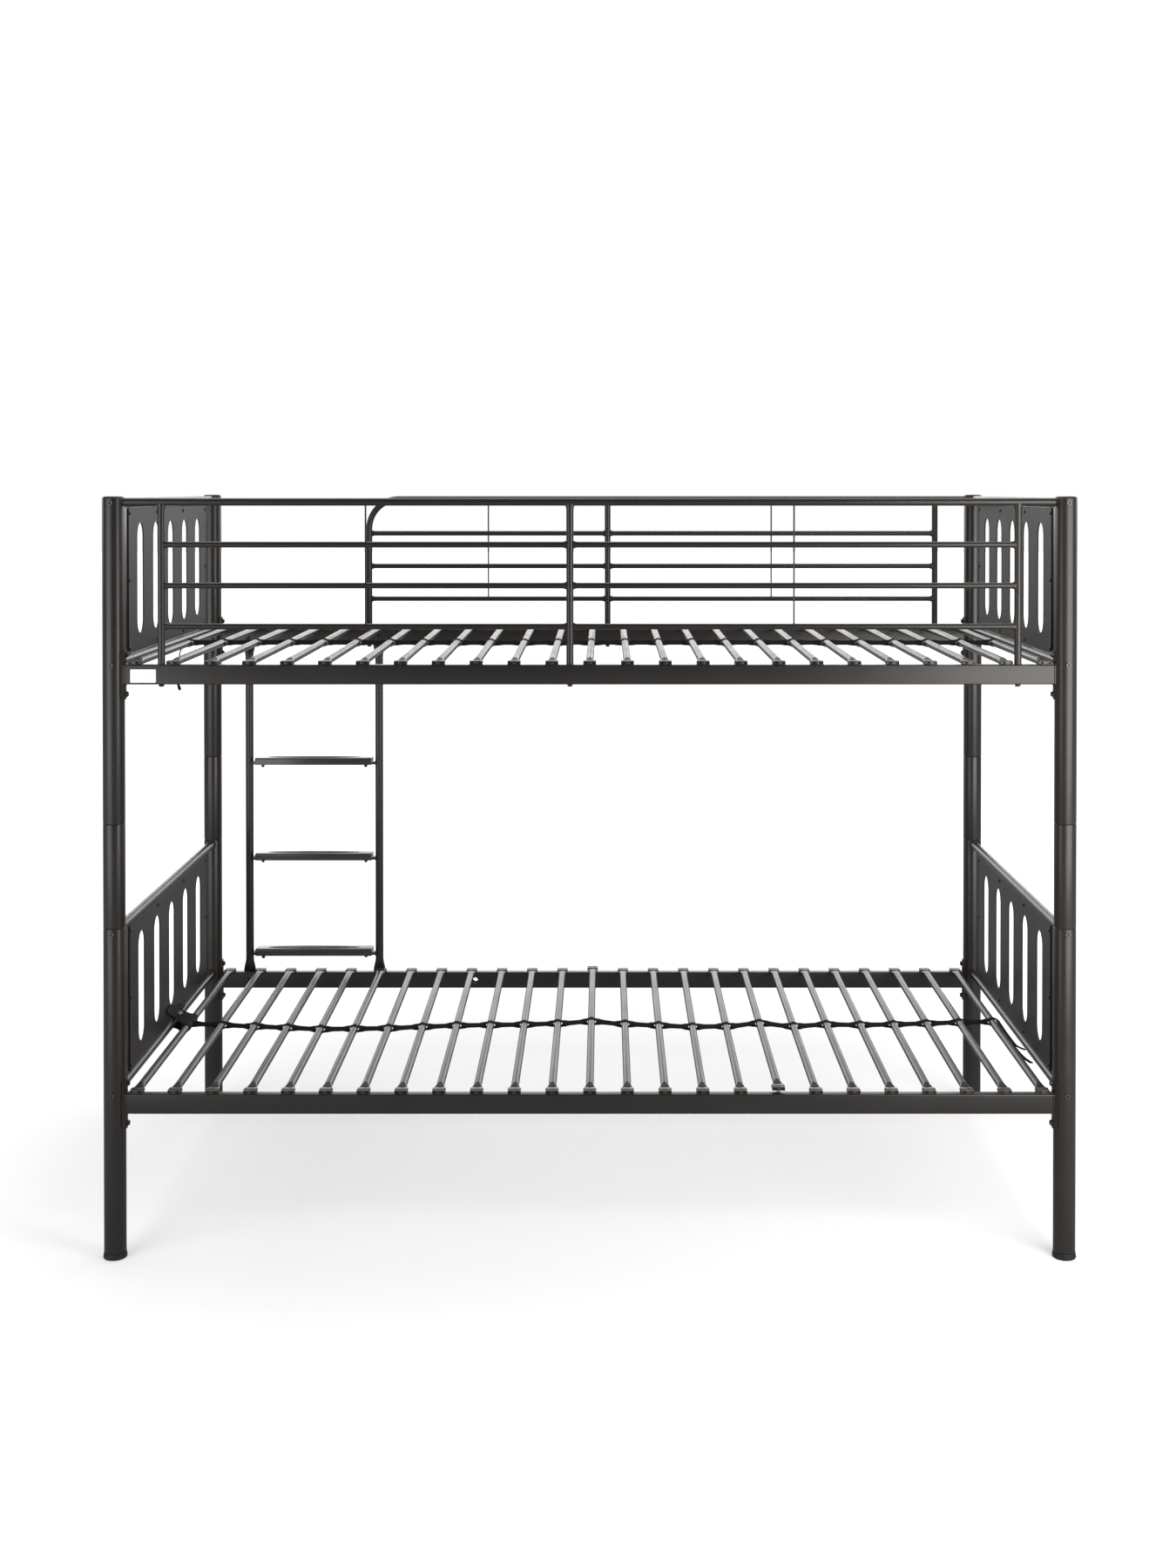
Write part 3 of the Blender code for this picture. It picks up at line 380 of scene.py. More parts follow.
def turned(shape, profile, place=Matrix(), sides=48, closed=False):
    """Spins radius and height pairs about Z."""
    rings = []
    for radius, height in profile:
        angles = [math.tau * step / sides for step in range(sides if radius > 0 else 1)]
        rings.append([shape.verts.new(place @ Vector((radius * math.cos(a), radius * math.sin(a), height)))
                      for a in angles])
    for low, high in list(zip(rings, rings[1:])) + ([(rings[-1], rings[0])] if closed else []):
        for step in range(sides):
            after = (step + 1) % sides
            corners = list(dict.fromkeys([low[step % len(low)], low[after % len(low)], high[after % len(high)],
                                          high[step % len(high)]]))
            if len(corners) > 2:
                shape.faces.new(corners)


print("turned shapes ready")


# %% Drawn shapes
def oval(width, height, sides=24, squareness=1.0):
    """A section: round where width and height match, like a pressed tube where they don't."""
    points = []
    for step in range(sides):
        a = math.tau * (step + 0.5) / sides
        c, s = math.cos(a), math.sin(a)
        points.append((width / 2 * math.copysign(abs(c) ** squareness, c),
                       height / 2 * math.copysign(abs(s) ** squareness, s)))
    return points


def rounded_section(width, height, radius, steps=4):
    points = []
    for quarter, (across, up) in enumerate(((1, 1), (-1, 1), (-1, -1), (1, -1))):
        centre = (across * (width / 2 - radius), up * (height / 2 - radius))
        points += arc(centre, radius, quarter * QUARTER, (quarter + 1) * QUARTER, steps)
    return points


def bridge(shape, low, high, closed=True):
    """Faces between two rows of as many vertices."""
    count = len(low)
    for step in range(count if closed else count - 1):
        after = (step + 1) % count
        shape.faces.new((low[step], low[after], high[after], high[step]))


def loft(shape, frames, sections, looped=False):
    """Joins one section at each frame; a frame's Z points along the path."""
    rings = [[shape.verts.new(place @ Vector((x, y, 0))) for x, y in section]
             for place, section in zip(frames, sections)]
    for low, high in list(zip(rings, rings[1:])) + ([(rings[-1], rings[0])] if looped else []):
        bridge(shape, low, high)
    if not looped:
        shape.faces.new(rings[0])
        shape.faces.new(rings[-1])


def frames_along(points, side=(0, 1, 0), looped=False):
    """Frames on a path, their X kept as near to one side as the path lets them."""
    frames = []
    last = len(points) - 1
    for index, point in enumerate(points):
        before = points[index - 1] if index or looped else point
        after = points[(index + 1) % len(points)] if index < last or looped else point
        z = (Vector(after) - Vector(before)).normalized()
        y = z.cross(Vector(side)).normalized()
        frames.append(Matrix.Translation(point) @ Matrix((y.cross(z), y, z)).transposed().to_4x4())
    return frames


def pipe(shape, points, radius, sides=24, side=(0, 1, 0), looped=False):
    section = oval(2 * radius, 2 * radius, sides)
    loft(shape, frames_along(points, side, looped), [section] * len(points), looped)


print("drawn shapes ready")


# %% Blocks and finished meshes
def block(shape, size, centre, rounding, segments=2):
    cube = bmesh.ops.create_cube(shape, size=1, matrix=Matrix.Translation(centre) @ Matrix.Diagonal((*size, 1)))
    edges = list({edge for vertex in cube["verts"] for edge in vertex.link_edges})
    bmesh.ops.bevel(shape, geom=edges, offset=rounding, segments=segments, profile=0.5, affect="EDGES")


def mesh_of(fill, *values, **settings):
    """A mesh that a function fills, with its doubles merged and its faces turned outwards."""
    shape = bmesh.new()
    fill(shape, *values, **settings)
    bmesh.ops.remove_doubles(shape, verts=shape.verts, dist=1e-6)
    bmesh.ops.recalc_face_normals(shape, faces=shape.faces)
    mesh = bpy.data.meshes.new("piece")
    shape.to_mesh(mesh)
    shape.free()
    return mesh


STEEL, PLASTIC, ELASTIC, BOLT = "powder_coated_steel", "black_plastic", "black_elastic", "blackened_bolt"
SOFT_EDGE = 60


def settle(name, mesh, stands_for=(), finish=graphite_coat, body="bed_frame", sharp=38):
    """Gives a mesh its finish, moves it into the bed's frame and lets it ride on its body."""
    mesh.name = name
    if not mesh.materials:
        mesh.materials.append(finish)
    mesh.transform(Matrix.Translation((0, SHIFT, 0)))
    mesh.shade_smooth()
    mesh.set_sharp_from_angle(angle=math.radians(sharp))
    item = linked(name, mesh)
    if body:
        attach(item, body)
    if stands_for:
        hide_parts(*stands_for)
    print(f"{name}: {len(mesh.polygons)} faces")
    return item


print("shape helpers ready")

# %% [markdown]
# ## Posts
# Each corner is three lengths of 44.5 mm tube pushed together on spigots. The ends of a cut and
# coated tube are slightly round, so the seams show as fine dark lines. A spun profile with small
# arcs at its ends gives that line without any texture.

# %% Posts and extensions
EDGE_ROUND, SEAM_GAP, POST_BORE = 0.0014, 0.0002, 0.02075
SPIGOT, SPIGOT_BORE, SPIGOT_REACH = 0.02045, 0.0189, 0.038


def outer_wall(bottom, top):
    centre = POST_RADIUS - EDGE_ROUND
    return (arc((centre, bottom + EDGE_ROUND), EDGE_ROUND, -QUARTER, 0, 4)
            + arc((centre, top - EDGE_ROUND), EDGE_ROUND, 0, QUARTER, 4))


for corner, x, y, sx, sy in CORNERS:
    at = Matrix.Translation((x, y, 0))
    for level, base in LEVELS:
        low, high = base, base + POST_LENGTH
        profile = outer_wall(low, high) + [(POST_BORE, high), (POST_BORE, low)]
        settle(f"{level}_tube_{corner}", mesh_of(turned, profile, at, 72, True), [f"{level}_post_{corner}"])
    low, high = LOWER_BASE + POST_LENGTH + SEAM_GAP, UPPER_BASE - SEAM_GAP
    profile = outer_wall(low, high) + [
        (SPIGOT, high), (SPIGOT, high + SPIGOT_REACH), (SPIGOT_BORE, high + SPIGOT_REACH),
        (SPIGOT_BORE, low - SPIGOT_REACH), (SPIGOT, low - SPIGOT_REACH), (SPIGOT, low)]
    settle(f"extension_tube_{corner}", mesh_of(turned, profile, at, 72, True), [f"post_extension_{corner}"])

# %% [markdown]
# The caps are low domes pressed into the tubes, and the feet are soft black mouldings that flare
# past the tube so that it never touches the floor.

# %% Caps and feet
CAP_PROFILE = [(0, 0.0030), (0.010, 0.0029), (0.0150, 0.0027), (0.0180, 0.0023), (0.0196, 0.0018),
               (0.0207, 0.0011), (0.0214, 0.0003), (0.0215, -0.0002), (0.0204, -0.0002),
               (0.0204, -0.004), (0, -0.004)]
FOOT_PROFILE = [(0, 0.0265), (0.0202, 0.0265), (0.0204, 0.0117), (0.0225, 0.0117), (0.0229, 0.0112),
                (0.0230, 0.0095), (0.0233, 0.0072), (0.0237, 0.0052), (0.0239, 0.0044), (0.0239, 0.0030),
                (0.0236, 0.0018), (0.0229, 0.0007), (0.0215, 0.0001), (0.0209, 0), (0, 0)]
for corner, x, y, sx, sy in CORNERS:
    for name, profile, z, node in (("cap_dome", CAP_PROFILE, UPPER_BASE + POST_LENGTH, "top_cap"),
                                   ("foot_moulding", FOOT_PROFILE, 0, "foot")):
        settle(f"{name}_{corner}", mesh_of(turned, profile, Matrix.Translation((x, y, z)), 64),
               [f"{node}_{corner}"], moulded_black)

# %% [markdown]
# ## Fasteners by Geometry Nodes
# The bed has over a hundred screws and bolts. One tree sets a model of the screw on every point,
# along the way that the point faces, and turns each by its own angle, because no two are done up to
# the same place. It is run once for each kind of screw, and its result is kept as a plain mesh.


# %% Tree: fasteners on points
def geometry_tree(name, **inputs):
    """A tree for a mesh; its inputs' labels have spaces where the names here have underscores."""
    tree = bpy.data.node_groups.new(name, "GeometryNodeTree")
    tree.is_modifier = True
    labels = {label.replace("_", " ").capitalize(): kind for label, kind in inputs.items()}
    return Nodes(tree, {"Geometry": "Geometry", **labels, "Finish": "Material"}, {"Geometry": "Geometry"})


fastening = geometry_tree("fasteners_on_points", fastener="Object", turn_seed="Int")
given = fastening.given
facing = fastening("GeometryNodeInputNamedAttribute", {"Name": "facing"}, data_type="FLOAT_VECTOR")
aligned = fastening("FunctionNodeAlignRotationToVector", {"Vector": facing.outputs["Attribute"]}, axis="Z")
spin = fastening("FunctionNodeRandomValue", {2: 0.0, 3: math.tau, "Seed": given["Turn seed"]}, data_type="FLOAT")
spin_turn = fastening("FunctionNodeEulerToRotation", {0: fastening.vector(Z=spin.outputs[1])})
done_up = fastening("FunctionNodeRotateRotation", {0: aligned, 1: spin_turn}, rotation_space="LOCAL")
model = fastening("GeometryNodeObjectInfo", {"Object": given["Fastener"]}).outputs["Geometry"]
fastening.finish(fastening.set_on(given["Geometry"], model, Rotation=done_up))


# %% Running a tree
def without(*items):
    for item in items:
        bpy.data.objects.remove(item, do_unlink=True)


def evaluated(item):
    return bpy.data.meshes.new_from_object(item.evaluated_get(bpy.context.evaluated_depsgraph_get()))


def grown(nodes, start=None, **values):
    """Runs a tree on a mesh with named inputs and returns the plain mesh that it makes."""
    holder = linked("grown", start or bpy.data.meshes.new("start"))
    modifier = holder.modifiers.new("grow", "NODES")
    modifier.node_group = nodes.tree
    for item in nodes.tree.interface.items_tree:
        name = item.name.replace(" ", "_").lower()
        if item.in_out == "INPUT" and name in values:
            modifier[item.identifier] = values[name]
    mesh = evaluated(holder)
    holder.modifiers.remove(modifier)
    without(holder)
    return mesh


def fastened(name, model_mesh, spots, seed, finish=bolt_black, stands_for=()):
    """Fasteners on spots: each spot is a place and the way that it faces."""
    points = bpy.data.meshes.new("spots")
    points.from_pydata([place for place, way in spots], [], [])
    for item, (place, way) in zip(points.attributes.new("facing", "FLOAT_VECTOR", "POINT").data, spots):
        item.vector = way
    model_item = linked("model", model_mesh)
    mesh = grown(fastening, points, fastener=model_item, turn_seed=seed, finish=finish)
    without(model_item)
    print(len(spots), "of", name)
    settle(name, mesh, stands_for, finish, sharp=30)


# %% [markdown]
# A socket screw is turned, with a deep hole in its head. A hexagon bolt is a six-sided head with a
# turned flange. A sheet-metal screw has a low round head with a small recess. A cap nut is a
# six-sided nut with a dome.

# %% Models of the fasteners
def socket_screw(shape):
    turned(shape, [(0.0021, -0.0092), (0.0024, 0.0027), (0.0027, 0.0030), (0.0044, 0.0030), (0.0050, 0.0024),
                   (0.0050, -0.0006), (0.0032, -0.0006), (0.0032, -0.010), (0, -0.010)], sides=24)
    turned(shape, [(0, -0.0092), (0.0021, -0.0092)], sides=24)


def hexagon_bolt(shape):
    turned(shape, [(0, 0.0052), (0.0036, 0.0052), (0.0057, 0.0043), (0.0057, 0.0010), (0, 0.0010)], sides=6)
    turned(shape, [(0, 0.0012), (0.0052, 0.0012), (0.0064, 0.0007), (0.0064, -0.0006), (0.003, -0.0006),
                   (0.003, -0.012), (0, -0.012)], sides=24)


def pan_screw(shape):
    dome = [(0.0042 * math.sin(a), 0.0004 + 0.0020 * math.cos(a)) for a in (0.35, 0.7, 1.05, 1.4, QUARTER)]
    turned(shape, [(0, 0.0012), (0.0011, 0.0014), *dome, (0.0042, -0.0004), (0.0020, -0.0006), (0.0020, -0.006),
                   (0, -0.006)], sides=20)


def cap_nut(shape):
    turned(shape, [(0, 0.0042), (0.0046, 0.0042), (0.0054, 0.0035), (0.0054, 0.0), (0.0022, 0.0), (0.0022, -0.005),
                   (0, -0.005)], sides=6)
    turned(shape, [(0, 0.0086), (0.0022, 0.0083), (0.0036, 0.0071), (0.0042, 0.0055), (0.0042, 0.0038), (0, 0.0038)],
           sides=20)


print("four models of fasteners")

# %% Cross-rail screws in the posts
cross_screws = [((x, y + sy * POST_RADIUS, base + rise), (0, sy, 0), f"{level}_{corner}_{height}_bolt")
                for level, base in LEVELS for corner, x, y, sx, sy in CORNERS
                for height, rise in (("low", LOW_CROSS_RISE), ("high", HIGH_CROSS_RISE))]
# These screws wear the lighter metal colour of the painted highlight.
fastened("cross_rail_screws", mesh_of(socket_screw), [(place, way) for place, way, node in cross_screws], 3,
         ring_highlight_black, [node for place, way, node in cross_screws])

# %% [markdown]
# ## End frames and panels
# Two 20 mm cross rails run between the posts. Flat uprights and four short tabs are welded to them,
# and carry the sheet-metal panel. The weld leaves a soft bead, drawn here as a thin ring.

# %% End frames
CROSS_END, CROSS_RADIUS = 0.4404, 0.010
BEAD_RING, BEAD_RADIUS, BEAD_STEPS = 0.0104, 0.0011, 36
UPRIGHT_Y, TAB_Y, TAB_HEIGHT = 0.368, 0.122, 0.034
PLATE, SEAM_PLATE, SEAM_HEIGHT = 0.006, 0.0078, 0.0030


def end_frame(shape, x, base):
    low, high = base + LOW_CROSS_RISE, base + HIGH_CROSS_RISE
    for z in (low, high):
        pipe(shape, [(x, y, z) for y in (-CROSS_END, -0.2, 0.2, CROSS_END)], CROSS_RADIUS, 32, side=(0, 0, 1))
        for end in (-1, 1):
            bead = []
            for step in range(BEAD_STEPS):
                a = math.tau * step / BEAD_STEPS
                dx, dz = BEAD_RING * math.cos(a), BEAD_RING * math.sin(a)
                bead.append((x + dx, end * (HALF_Y - math.sqrt((POST_RADIUS + 0.0003) ** 2 - dx ** 2)), z + dz))
            pipe(shape, bead, BEAD_RADIUS, 8, looped=True)
    for y in (-UPRIGHT_Y, UPRIGHT_Y):
        block(shape, (PLATE, 0.040, high - low), (x, y, (low + high) / 2), 0.0012)
        for z, way in ((low, 1), (high, -1)):
            block(shape, (SEAM_PLATE, 0.0415, SEAM_HEIGHT), (x, y, z + way * CROSS_RADIUS), 0.0013)
    for y in (-TAB_Y, TAB_Y):
        for z, way in ((low, 1), (high, -1)):
            block(shape, (PLATE, 0.030, TAB_HEIGHT), (x, y, z + way * TAB_HEIGHT / 2), 0.0012)
            block(shape, (SEAM_PLATE, 0.0315, SEAM_HEIGHT), (x, y, z + way * CROSS_RADIUS), 0.0013)


for level, base in LEVELS:
    for side, sx in SIDES:
        settle(f"{level}_end_rails_{side}", mesh_of(end_frame, sx * HALF_X, base), [f"{level}_end_frame_{side}"])

# %% [markdown]
# The panel follows a rule: a sheet with a row of equal slots. So it is grown by Geometry Nodes from a
# few numbers. The slots' ends are ovals, so a slot is drawn round and stretched along its length. One
# filled curve gives the sheet with its slots, and a second sweep gives the rolled edge that each
# slot and the sheet's rim have, which shows in the photograph as a thin dark or pale line.

# %% Tree: slotted panel
NEARLY_HALF = 0.49999
slotted = geometry_tree(
    "slotted_panel", end_stretch="Float", slot_rise="Float", panel_width="Float", panel_height="Float",
    corner="Float", slots="Int", slot_pitch="Float", slot_width="Float", slot_height="Float", sheet="Float",
    lip="Float")
given = slotted.given
edge = slotted.oblong(given["Panel width"], given["Panel height"], given["Corner"], 6)
plain_height = slotted.calc("DIVIDE", given["Slot height"], given["End stretch"])
end_radius = slotted.calc("MULTIPLY", given["Slot width"], NEARLY_HALF)
plain_slot = slotted.oblong(given["Slot width"], plain_height, end_radius, 12)
stretch = slotted.vector(X=1.0, Y=given["End stretch"], Z=1.0)
opening = slotted("GeometryNodeTransform", {"Geometry": plain_slot, "Scale": stretch})
row = slotted.row(given["Slots"], given["Slot pitch"], slotted.vector(Y=given["Slot rise"]))
outlines = slotted.join(edge, slotted("GeometryNodeRealizeInstances", {0: slotted.set_on(row, opening)}))
sheet = slotted("GeometryNodeFillCurve", {"Curve": outlines}, mode="TRIANGLES")
thick = slotted("GeometryNodeExtrudeMesh", {"Mesh": sheet, "Offset Scale": given["Sheet"], "Individual": False})
turned_over = slotted("GeometryNodeFlipFaces", {0: sheet})
lip_profile = slotted("GeometryNodeCurvePrimitiveCircle", {"Resolution": 8, "Radius": given["Lip"]}, mode="RADIUS")
lips = slotted("GeometryNodeCurveToMesh", {"Curve": outlines, "Profile Curve": lip_profile})
middle = slotted.vector(Z=slotted.calc("MULTIPLY", given["Sheet"], 0.5))
lips_placed = slotted("GeometryNodeTransform", {"Geometry": lips, "Translation": middle})
slotted.finish(slotted.join(thick, turned_over, lips_placed))

# %% Panels
PANEL_WIDTH, PANEL_HEIGHT, PANEL_SHEET = 0.7232, 0.3045, 0.0016
PANEL_X = 0.9607
PANEL_MIDDLE = (LOW_CROSS_RISE + HIGH_CROSS_RISE) / 2
END_STRETCH = 31 / 26.75
stand = Matrix.Rotation(QUARTER, 4, "Z") @ Matrix.Rotation(QUARTER, 4, "X")
for level, base in LEVELS:
    for side, sx in SIDES:
        panel = grown(slotted, panel_width=PANEL_WIDTH, panel_height=PANEL_HEIGHT, corner=0.006, slots=5,
                      slot_pitch=0.134, slot_width=0.0535, slot_height=0.237, end_stretch=END_STRETCH,
                      slot_rise=0.0025, sheet=PANEL_SHEET, lip=0.0015, finish=sheet_coat)
        panel.transform(Matrix.Translation((sx * PANEL_X - PANEL_SHEET / 2, 0, base + PANEL_MIDDLE)) @ stand)
        settle(f"{level}_slotted_sheet_{side}", panel, [f"{level}_end_panel_{side}"], sheet_coat)

# %% [markdown]
# Ten black screws hold each panel to the uprights and tabs. They sit on its inner face.

# %% Panel screws
SCREW_X, SCREW_Z = PANEL_X - 0.001, PANEL_HEIGHT / 2 - 0.011
SCREWS = ([(y, z) for y in (-0.354, 0.354) for z in (-SCREW_Z, 0.0015, SCREW_Z)]
          + [(y, z) for y in (-TAB_Y, TAB_Y) for z in (-SCREW_Z, SCREW_Z)])
fastened("panel_screws", mesh_of(pan_screw), [
    ((sx * SCREW_X, y, base + PANEL_MIDDLE + z), (-sx, 0, 0))
    for level, base in LEVELS for side, sx in SIDES for y, z in SCREWS], 5)

# %% [markdown]
# ## Side rails
# A side rail is a 40 by 20 mm box tube welded at each end to a curved plate that saddles the post.
# Its top wall has a row of square holes, one for each slat's peg. Punched holes are a repeat, so
# Geometry Nodes cut them: a line of small blocks is taken out of the tube.

# %% Tree: punched rail
punched = geometry_tree("punched_rail", holes="Int", hole_pitch="Float", hole_size="Vector", hole_place="Vector")
given = punched.given
punch = punched("GeometryNodeMeshCube", {"Size": given["Hole size"]})
punches = punched.set_on(punched.row(given["Holes"], given["Hole pitch"], given["Hole place"]), punch)
real_punches = punched("GeometryNodeRealizeInstances", {0: punches})
punched.finish(punched("GeometryNodeMeshBoolean", {0: given["Geometry"], 1: real_punches}, operation="DIFFERENCE"))

# %% Rail tube, saddles and beads
RAIL_REACH, RAIL_WALL = 0.9418, 0.0015
SADDLE_INNER, SADDLE_OUTER, BEAD_LINE = 0.02255, 0.02555, 0.0257
SADDLE_TURN, SADDLE_CORNER, SADDLE_HALF = math.radians(42), 0.008, 0.0505
SADDLE_COLUMNS = 17


def rail_tube(shape, y, z):
    outer = rounded_section(RAIL_HEIGHT, RAIL_DEPTH, 0.0026)
    inner = rounded_section(RAIL_HEIGHT - 2 * RAIL_WALL, RAIL_DEPTH - 2 * RAIL_WALL, 0.0012)
    frames = frames_along([(-RAIL_REACH, y, z), (RAIL_REACH, y, z)], side=(0, 0, 1))
    rings = [[shape.verts.new(place @ Vector((a, b, 0))) for a, b in section]
             for section in (outer, inner) for place in frames]
    for low, high in ((0, 1), (3, 2), (1, 3), (2, 0)):
        bridge(shape, rings[low], rings[high])


def shell(shape, inner, outer, looped=False):
    """Two grids of vertices, joined face by face and round their rims."""
    for grid in (inner, outer):
        for low, high in zip(grid, grid[1:] + grid[:1] if looped else grid[1:]):
            bridge(shape, low, high, closed=False)
    for edge in (0, -1):
        bridge(shape, [row[edge] for row in inner], [row[edge] for row in outer], closed=looped)
        if not looped:
            bridge(shape, inner[edge], outer[edge], closed=False)


def saddle(shape, x, y, z, way):
    """A plate bent round the inner side of a post: a rounded outline laid on two cylinders."""
    around = SADDLE_INNER + SADDLE_OUTER
    across = SADDLE_TURN * around
    grid = []
    for column in range(SADDLE_COLUMNS):
        a = -across / 2 + across * column / (SADDLE_COLUMNS - 1)
        over = max(0.0, abs(a) - (across / 2 - SADDLE_CORNER))
        grid.append((a * 2 / around,
                     SADDLE_HALF - SADDLE_CORNER + math.sqrt(max(0.0, SADDLE_CORNER ** 2 - over ** 2))))
    shell(shape, *([[shape.verts.new((x + way * radius * math.cos(a), y + radius * math.sin(a), z + rise * share))
                     for share in (-1, -0.5, 0, 0.5, 1)] for a, rise in grid]
                   for radius in (SADDLE_INNER, SADDLE_OUTER)))


def rail_bead(shape, x, y, z, way):
    outline = rounded_section(RAIL_HEIGHT + 0.0008, RAIL_DEPTH + 0.0008, 0.003)
    loop = [(x + way * math.sqrt(BEAD_LINE ** 2 - across ** 2), y + across, z + up) for up, across in outline]
    pipe(shape, loop, 0.0019, 8, side=(1, 0, 0), looped=True)


print("rail helpers ready")

# %% Side rails
STILE_XS = (-0.87445, -0.54395)
FRONT_UPRIGHTS = (-0.868, -0.040, 0.868)
REAR_UPRIGHTS = (-0.567, 0.038, 0.868)
HOLE_IN = 0.003
SPARE_HOLE_X, SPARE_HOLE_RADIUS = -0.298, 0.007


def whole_rail(shape, tube, y, z):
    shape.from_mesh(tube)
    for way in (1, -1):
        saddle(shape, -way * HALF_X, y, z, way)
        rail_bead(shape, -way * HALF_X, y, z, way)


for level, base in LEVELS:
    for row_name, sy in (("front", -1), ("rear", 1)):
        y, z = sy * HALF_Y, base + RAIL_RISE
        tube = grown(punched, mesh_of(rail_tube, y, z), holes=SLAT_COUNT, hole_pitch=SLAT_PITCH,
                     hole_size=(0.0074, 0.0074, 0.012), hole_place=(0, y - sy * HOLE_IN, z + RAIL_HEIGHT / 2),
                     finish=graphite_coat)
        if (level, row_name) == ("lower", "rear"):
            drill = linked("drill", mesh_of(turned, [
                (0, -RAIL_DEPTH), (SPARE_HOLE_RADIUS, -RAIL_DEPTH), (SPARE_HOLE_RADIUS, RAIL_DEPTH), (0, RAIL_DEPTH)],
                Matrix.Translation((SPARE_HOLE_X, y, z)) @ Matrix.Rotation(QUARTER, 4, "X"), 32))
            drilled = linked("drilled", tube)
            drilled.modifiers.new("spare_hole", "BOOLEAN").object = drill
            tube = evaluated(drilled)
            without(drilled, drill)
        settle(f"{level}_box_rail_{row_name}", mesh_of(whole_rail, tube, y, z), [f"{level}_side_rail_{row_name}"])

# %% Hexagon bolts
BOLT_OUT, BOLT_RISE = 0.02505, 0.0402
hexagon_spots = [((x - sx * BOLT_OUT, y, base + RAIL_RISE + offset), (-sx, 0, 0))
                 for level, base in LEVELS for corner, x, y, sx, sy in CORNERS for offset in (-BOLT_RISE, BOLT_RISE)]
for y, xs in ((-HALF_Y, FRONT_UPRIGHTS), (HALF_Y, REAR_UPRIGHTS)):
    hexagon_spots += [((x, y, RAIL_TOP - RAIL_HEIGHT), (0, 0, -1)) for x in xs]
for x in STILE_XS:
    hexagon_spots += [((x, HALF_Y - RAIL_DEPTH / 2, base + RAIL_RISE), (0, -1, 0)) for level, base in LEVELS]
fastened("hexagon_bolts", mesh_of(hexagon_bolt), hexagon_spots, 8)

# %% [markdown]
# ## Guards
# A guard is welded from tubes: a 16 mm top rail, three uprights, three 12 mm rails and two thin
# wires. Each weld makes a small flare, wider along the tube that it meets. The rear guard starts
# with a bend, which leaves the ladder's way in.

# %% Guard tubes
GUARD_TOP = 1.5355
GUARD_HEIGHTS = (1.449, 1.366, 1.283)
TOP_RADIUS, UPRIGHT_RADIUS, RAIL_RADIUS, WIRE_RADIUS = 0.0078, 0.0074, 0.006, 0.0018
BEND = 0.075
STANDING = RAIL_TOP + 0.0002
POST_FACE = HALF_X - 0.0209


def weld_flare(shape, root, way, spread, radius, wide, length):
    """A bead where a round tube meets another: wide along that tube, and close to it in depth."""
    root, way = Vector(root), Vector(way)
    steps = [0, 0.25, 0.5, 0.75, 1]
    loft(shape, frames_along([root + way * length * t for t in steps], side=spread),
         [oval(2 * (radius + (1 - math.sin(t * QUARTER)) * (wide - radius)), 2 * (radius + 0.0003 * (1 - t)))
          for t in steps])


def guard_tubes(shape, y, upright_xs, top_points, standing):
    pipe(shape, top_points, TOP_RADIUS, 32)
    for x in standing:
        pipe(shape, [(x, y, STANDING), (x, y, 1.4), (x, y, GUARD_TOP)], UPRIGHT_RADIUS, 32)
        weld_flare(shape, (x, y, GUARD_TOP - 0.0050), (0, 0, -1), (1, 0, 0), UPRIGHT_RADIUS, 0.0102, 0.0115)
    gaps = list(zip(upright_xs, upright_xs[1:]))
    for z in GUARD_HEIGHTS:
        for gap in gaps:
            for x, way in zip(gap, (1, -1)):
                weld_flare(shape, (x + way * 0.0050, y, z), (way, 0, 0), (0, 0, 1), RAIL_RADIUS, 0.0094, 0.0110)
        pipe(shape, [(upright_xs[0], y, z), (upright_xs[-1], y, z)], RAIL_RADIUS)
    for before, after in gaps:
        x = (before + after) / 2
        pipe(shape, [(x, y, GUARD_HEIGHTS[-1] - 0.004), (x, y, GUARD_TOP)], WIRE_RADIUS, 14)


front_top = [(x, -HALF_Y, GUARD_TOP) for x in (-POST_FACE, 0, POST_FACE)]
start_x = REAR_UPRIGHTS[0]
bend_points = arc((start_x + BEND, GUARD_TOP - BEND), BEND, math.pi, QUARTER, 20)
rear_top = [(x, HALF_Y, z) for x, z in [(start_x, STANDING), *bend_points, (POST_FACE, GUARD_TOP)]]
for row_name, y, uprights, top_points, standing in (
        ("front", -HALF_Y, FRONT_UPRIGHTS, front_top, FRONT_UPRIGHTS),
        ("rear", HALF_Y, REAR_UPRIGHTS, rear_top, REAR_UPRIGHTS[1:])):
    settle(f"{row_name}_guard_tubes", mesh_of(guard_tubes, y, uprights, top_points, standing),
           [f"{row_name}_guard"])

# %% [markdown]
# At each end of the top rail a thin dark ring sits against the post, so that the joint shows dark.

# %% End washers
DARK_RING = [(0.0072, -0.001), (0.0083, -0.001), (0.0087, -0.0004), (0.0087, 0.0008), (0.0083, 0.0014),
          (0.0072, 0.0014)]
fastened("guard_end_washers", mesh_of(turned, DARK_RING, sides=32, closed=True),
         [((sx * POST_FACE, y, GUARD_TOP), (-sx, 0, 0)) for sx, y in ((-1, -HALF_Y), (1, -HALF_Y), (1, HALF_Y))],
         1, moulded_black)

# %% [markdown]
# ## Ladder
# The two stiles are round tubes pressed flat where they are bolted to the rear rails. A pressed tube
# is a loft through sections that change from a circle to a flat oval.

# %% Ladder frame
LADDER_X = (STILE_XS[0] + STILE_XS[1]) / 2
STILE_Y = HALF_Y + 0.0133
LADDER_LOW, LADDER_HIGH = LOWER_BASE + RAIL_RISE - 0.020, UPPER_BASE + RAIL_RISE + 0.020
TREAD_TOPS = (0.393, 0.636, 0.879)
RUNG_DROP = 0.015


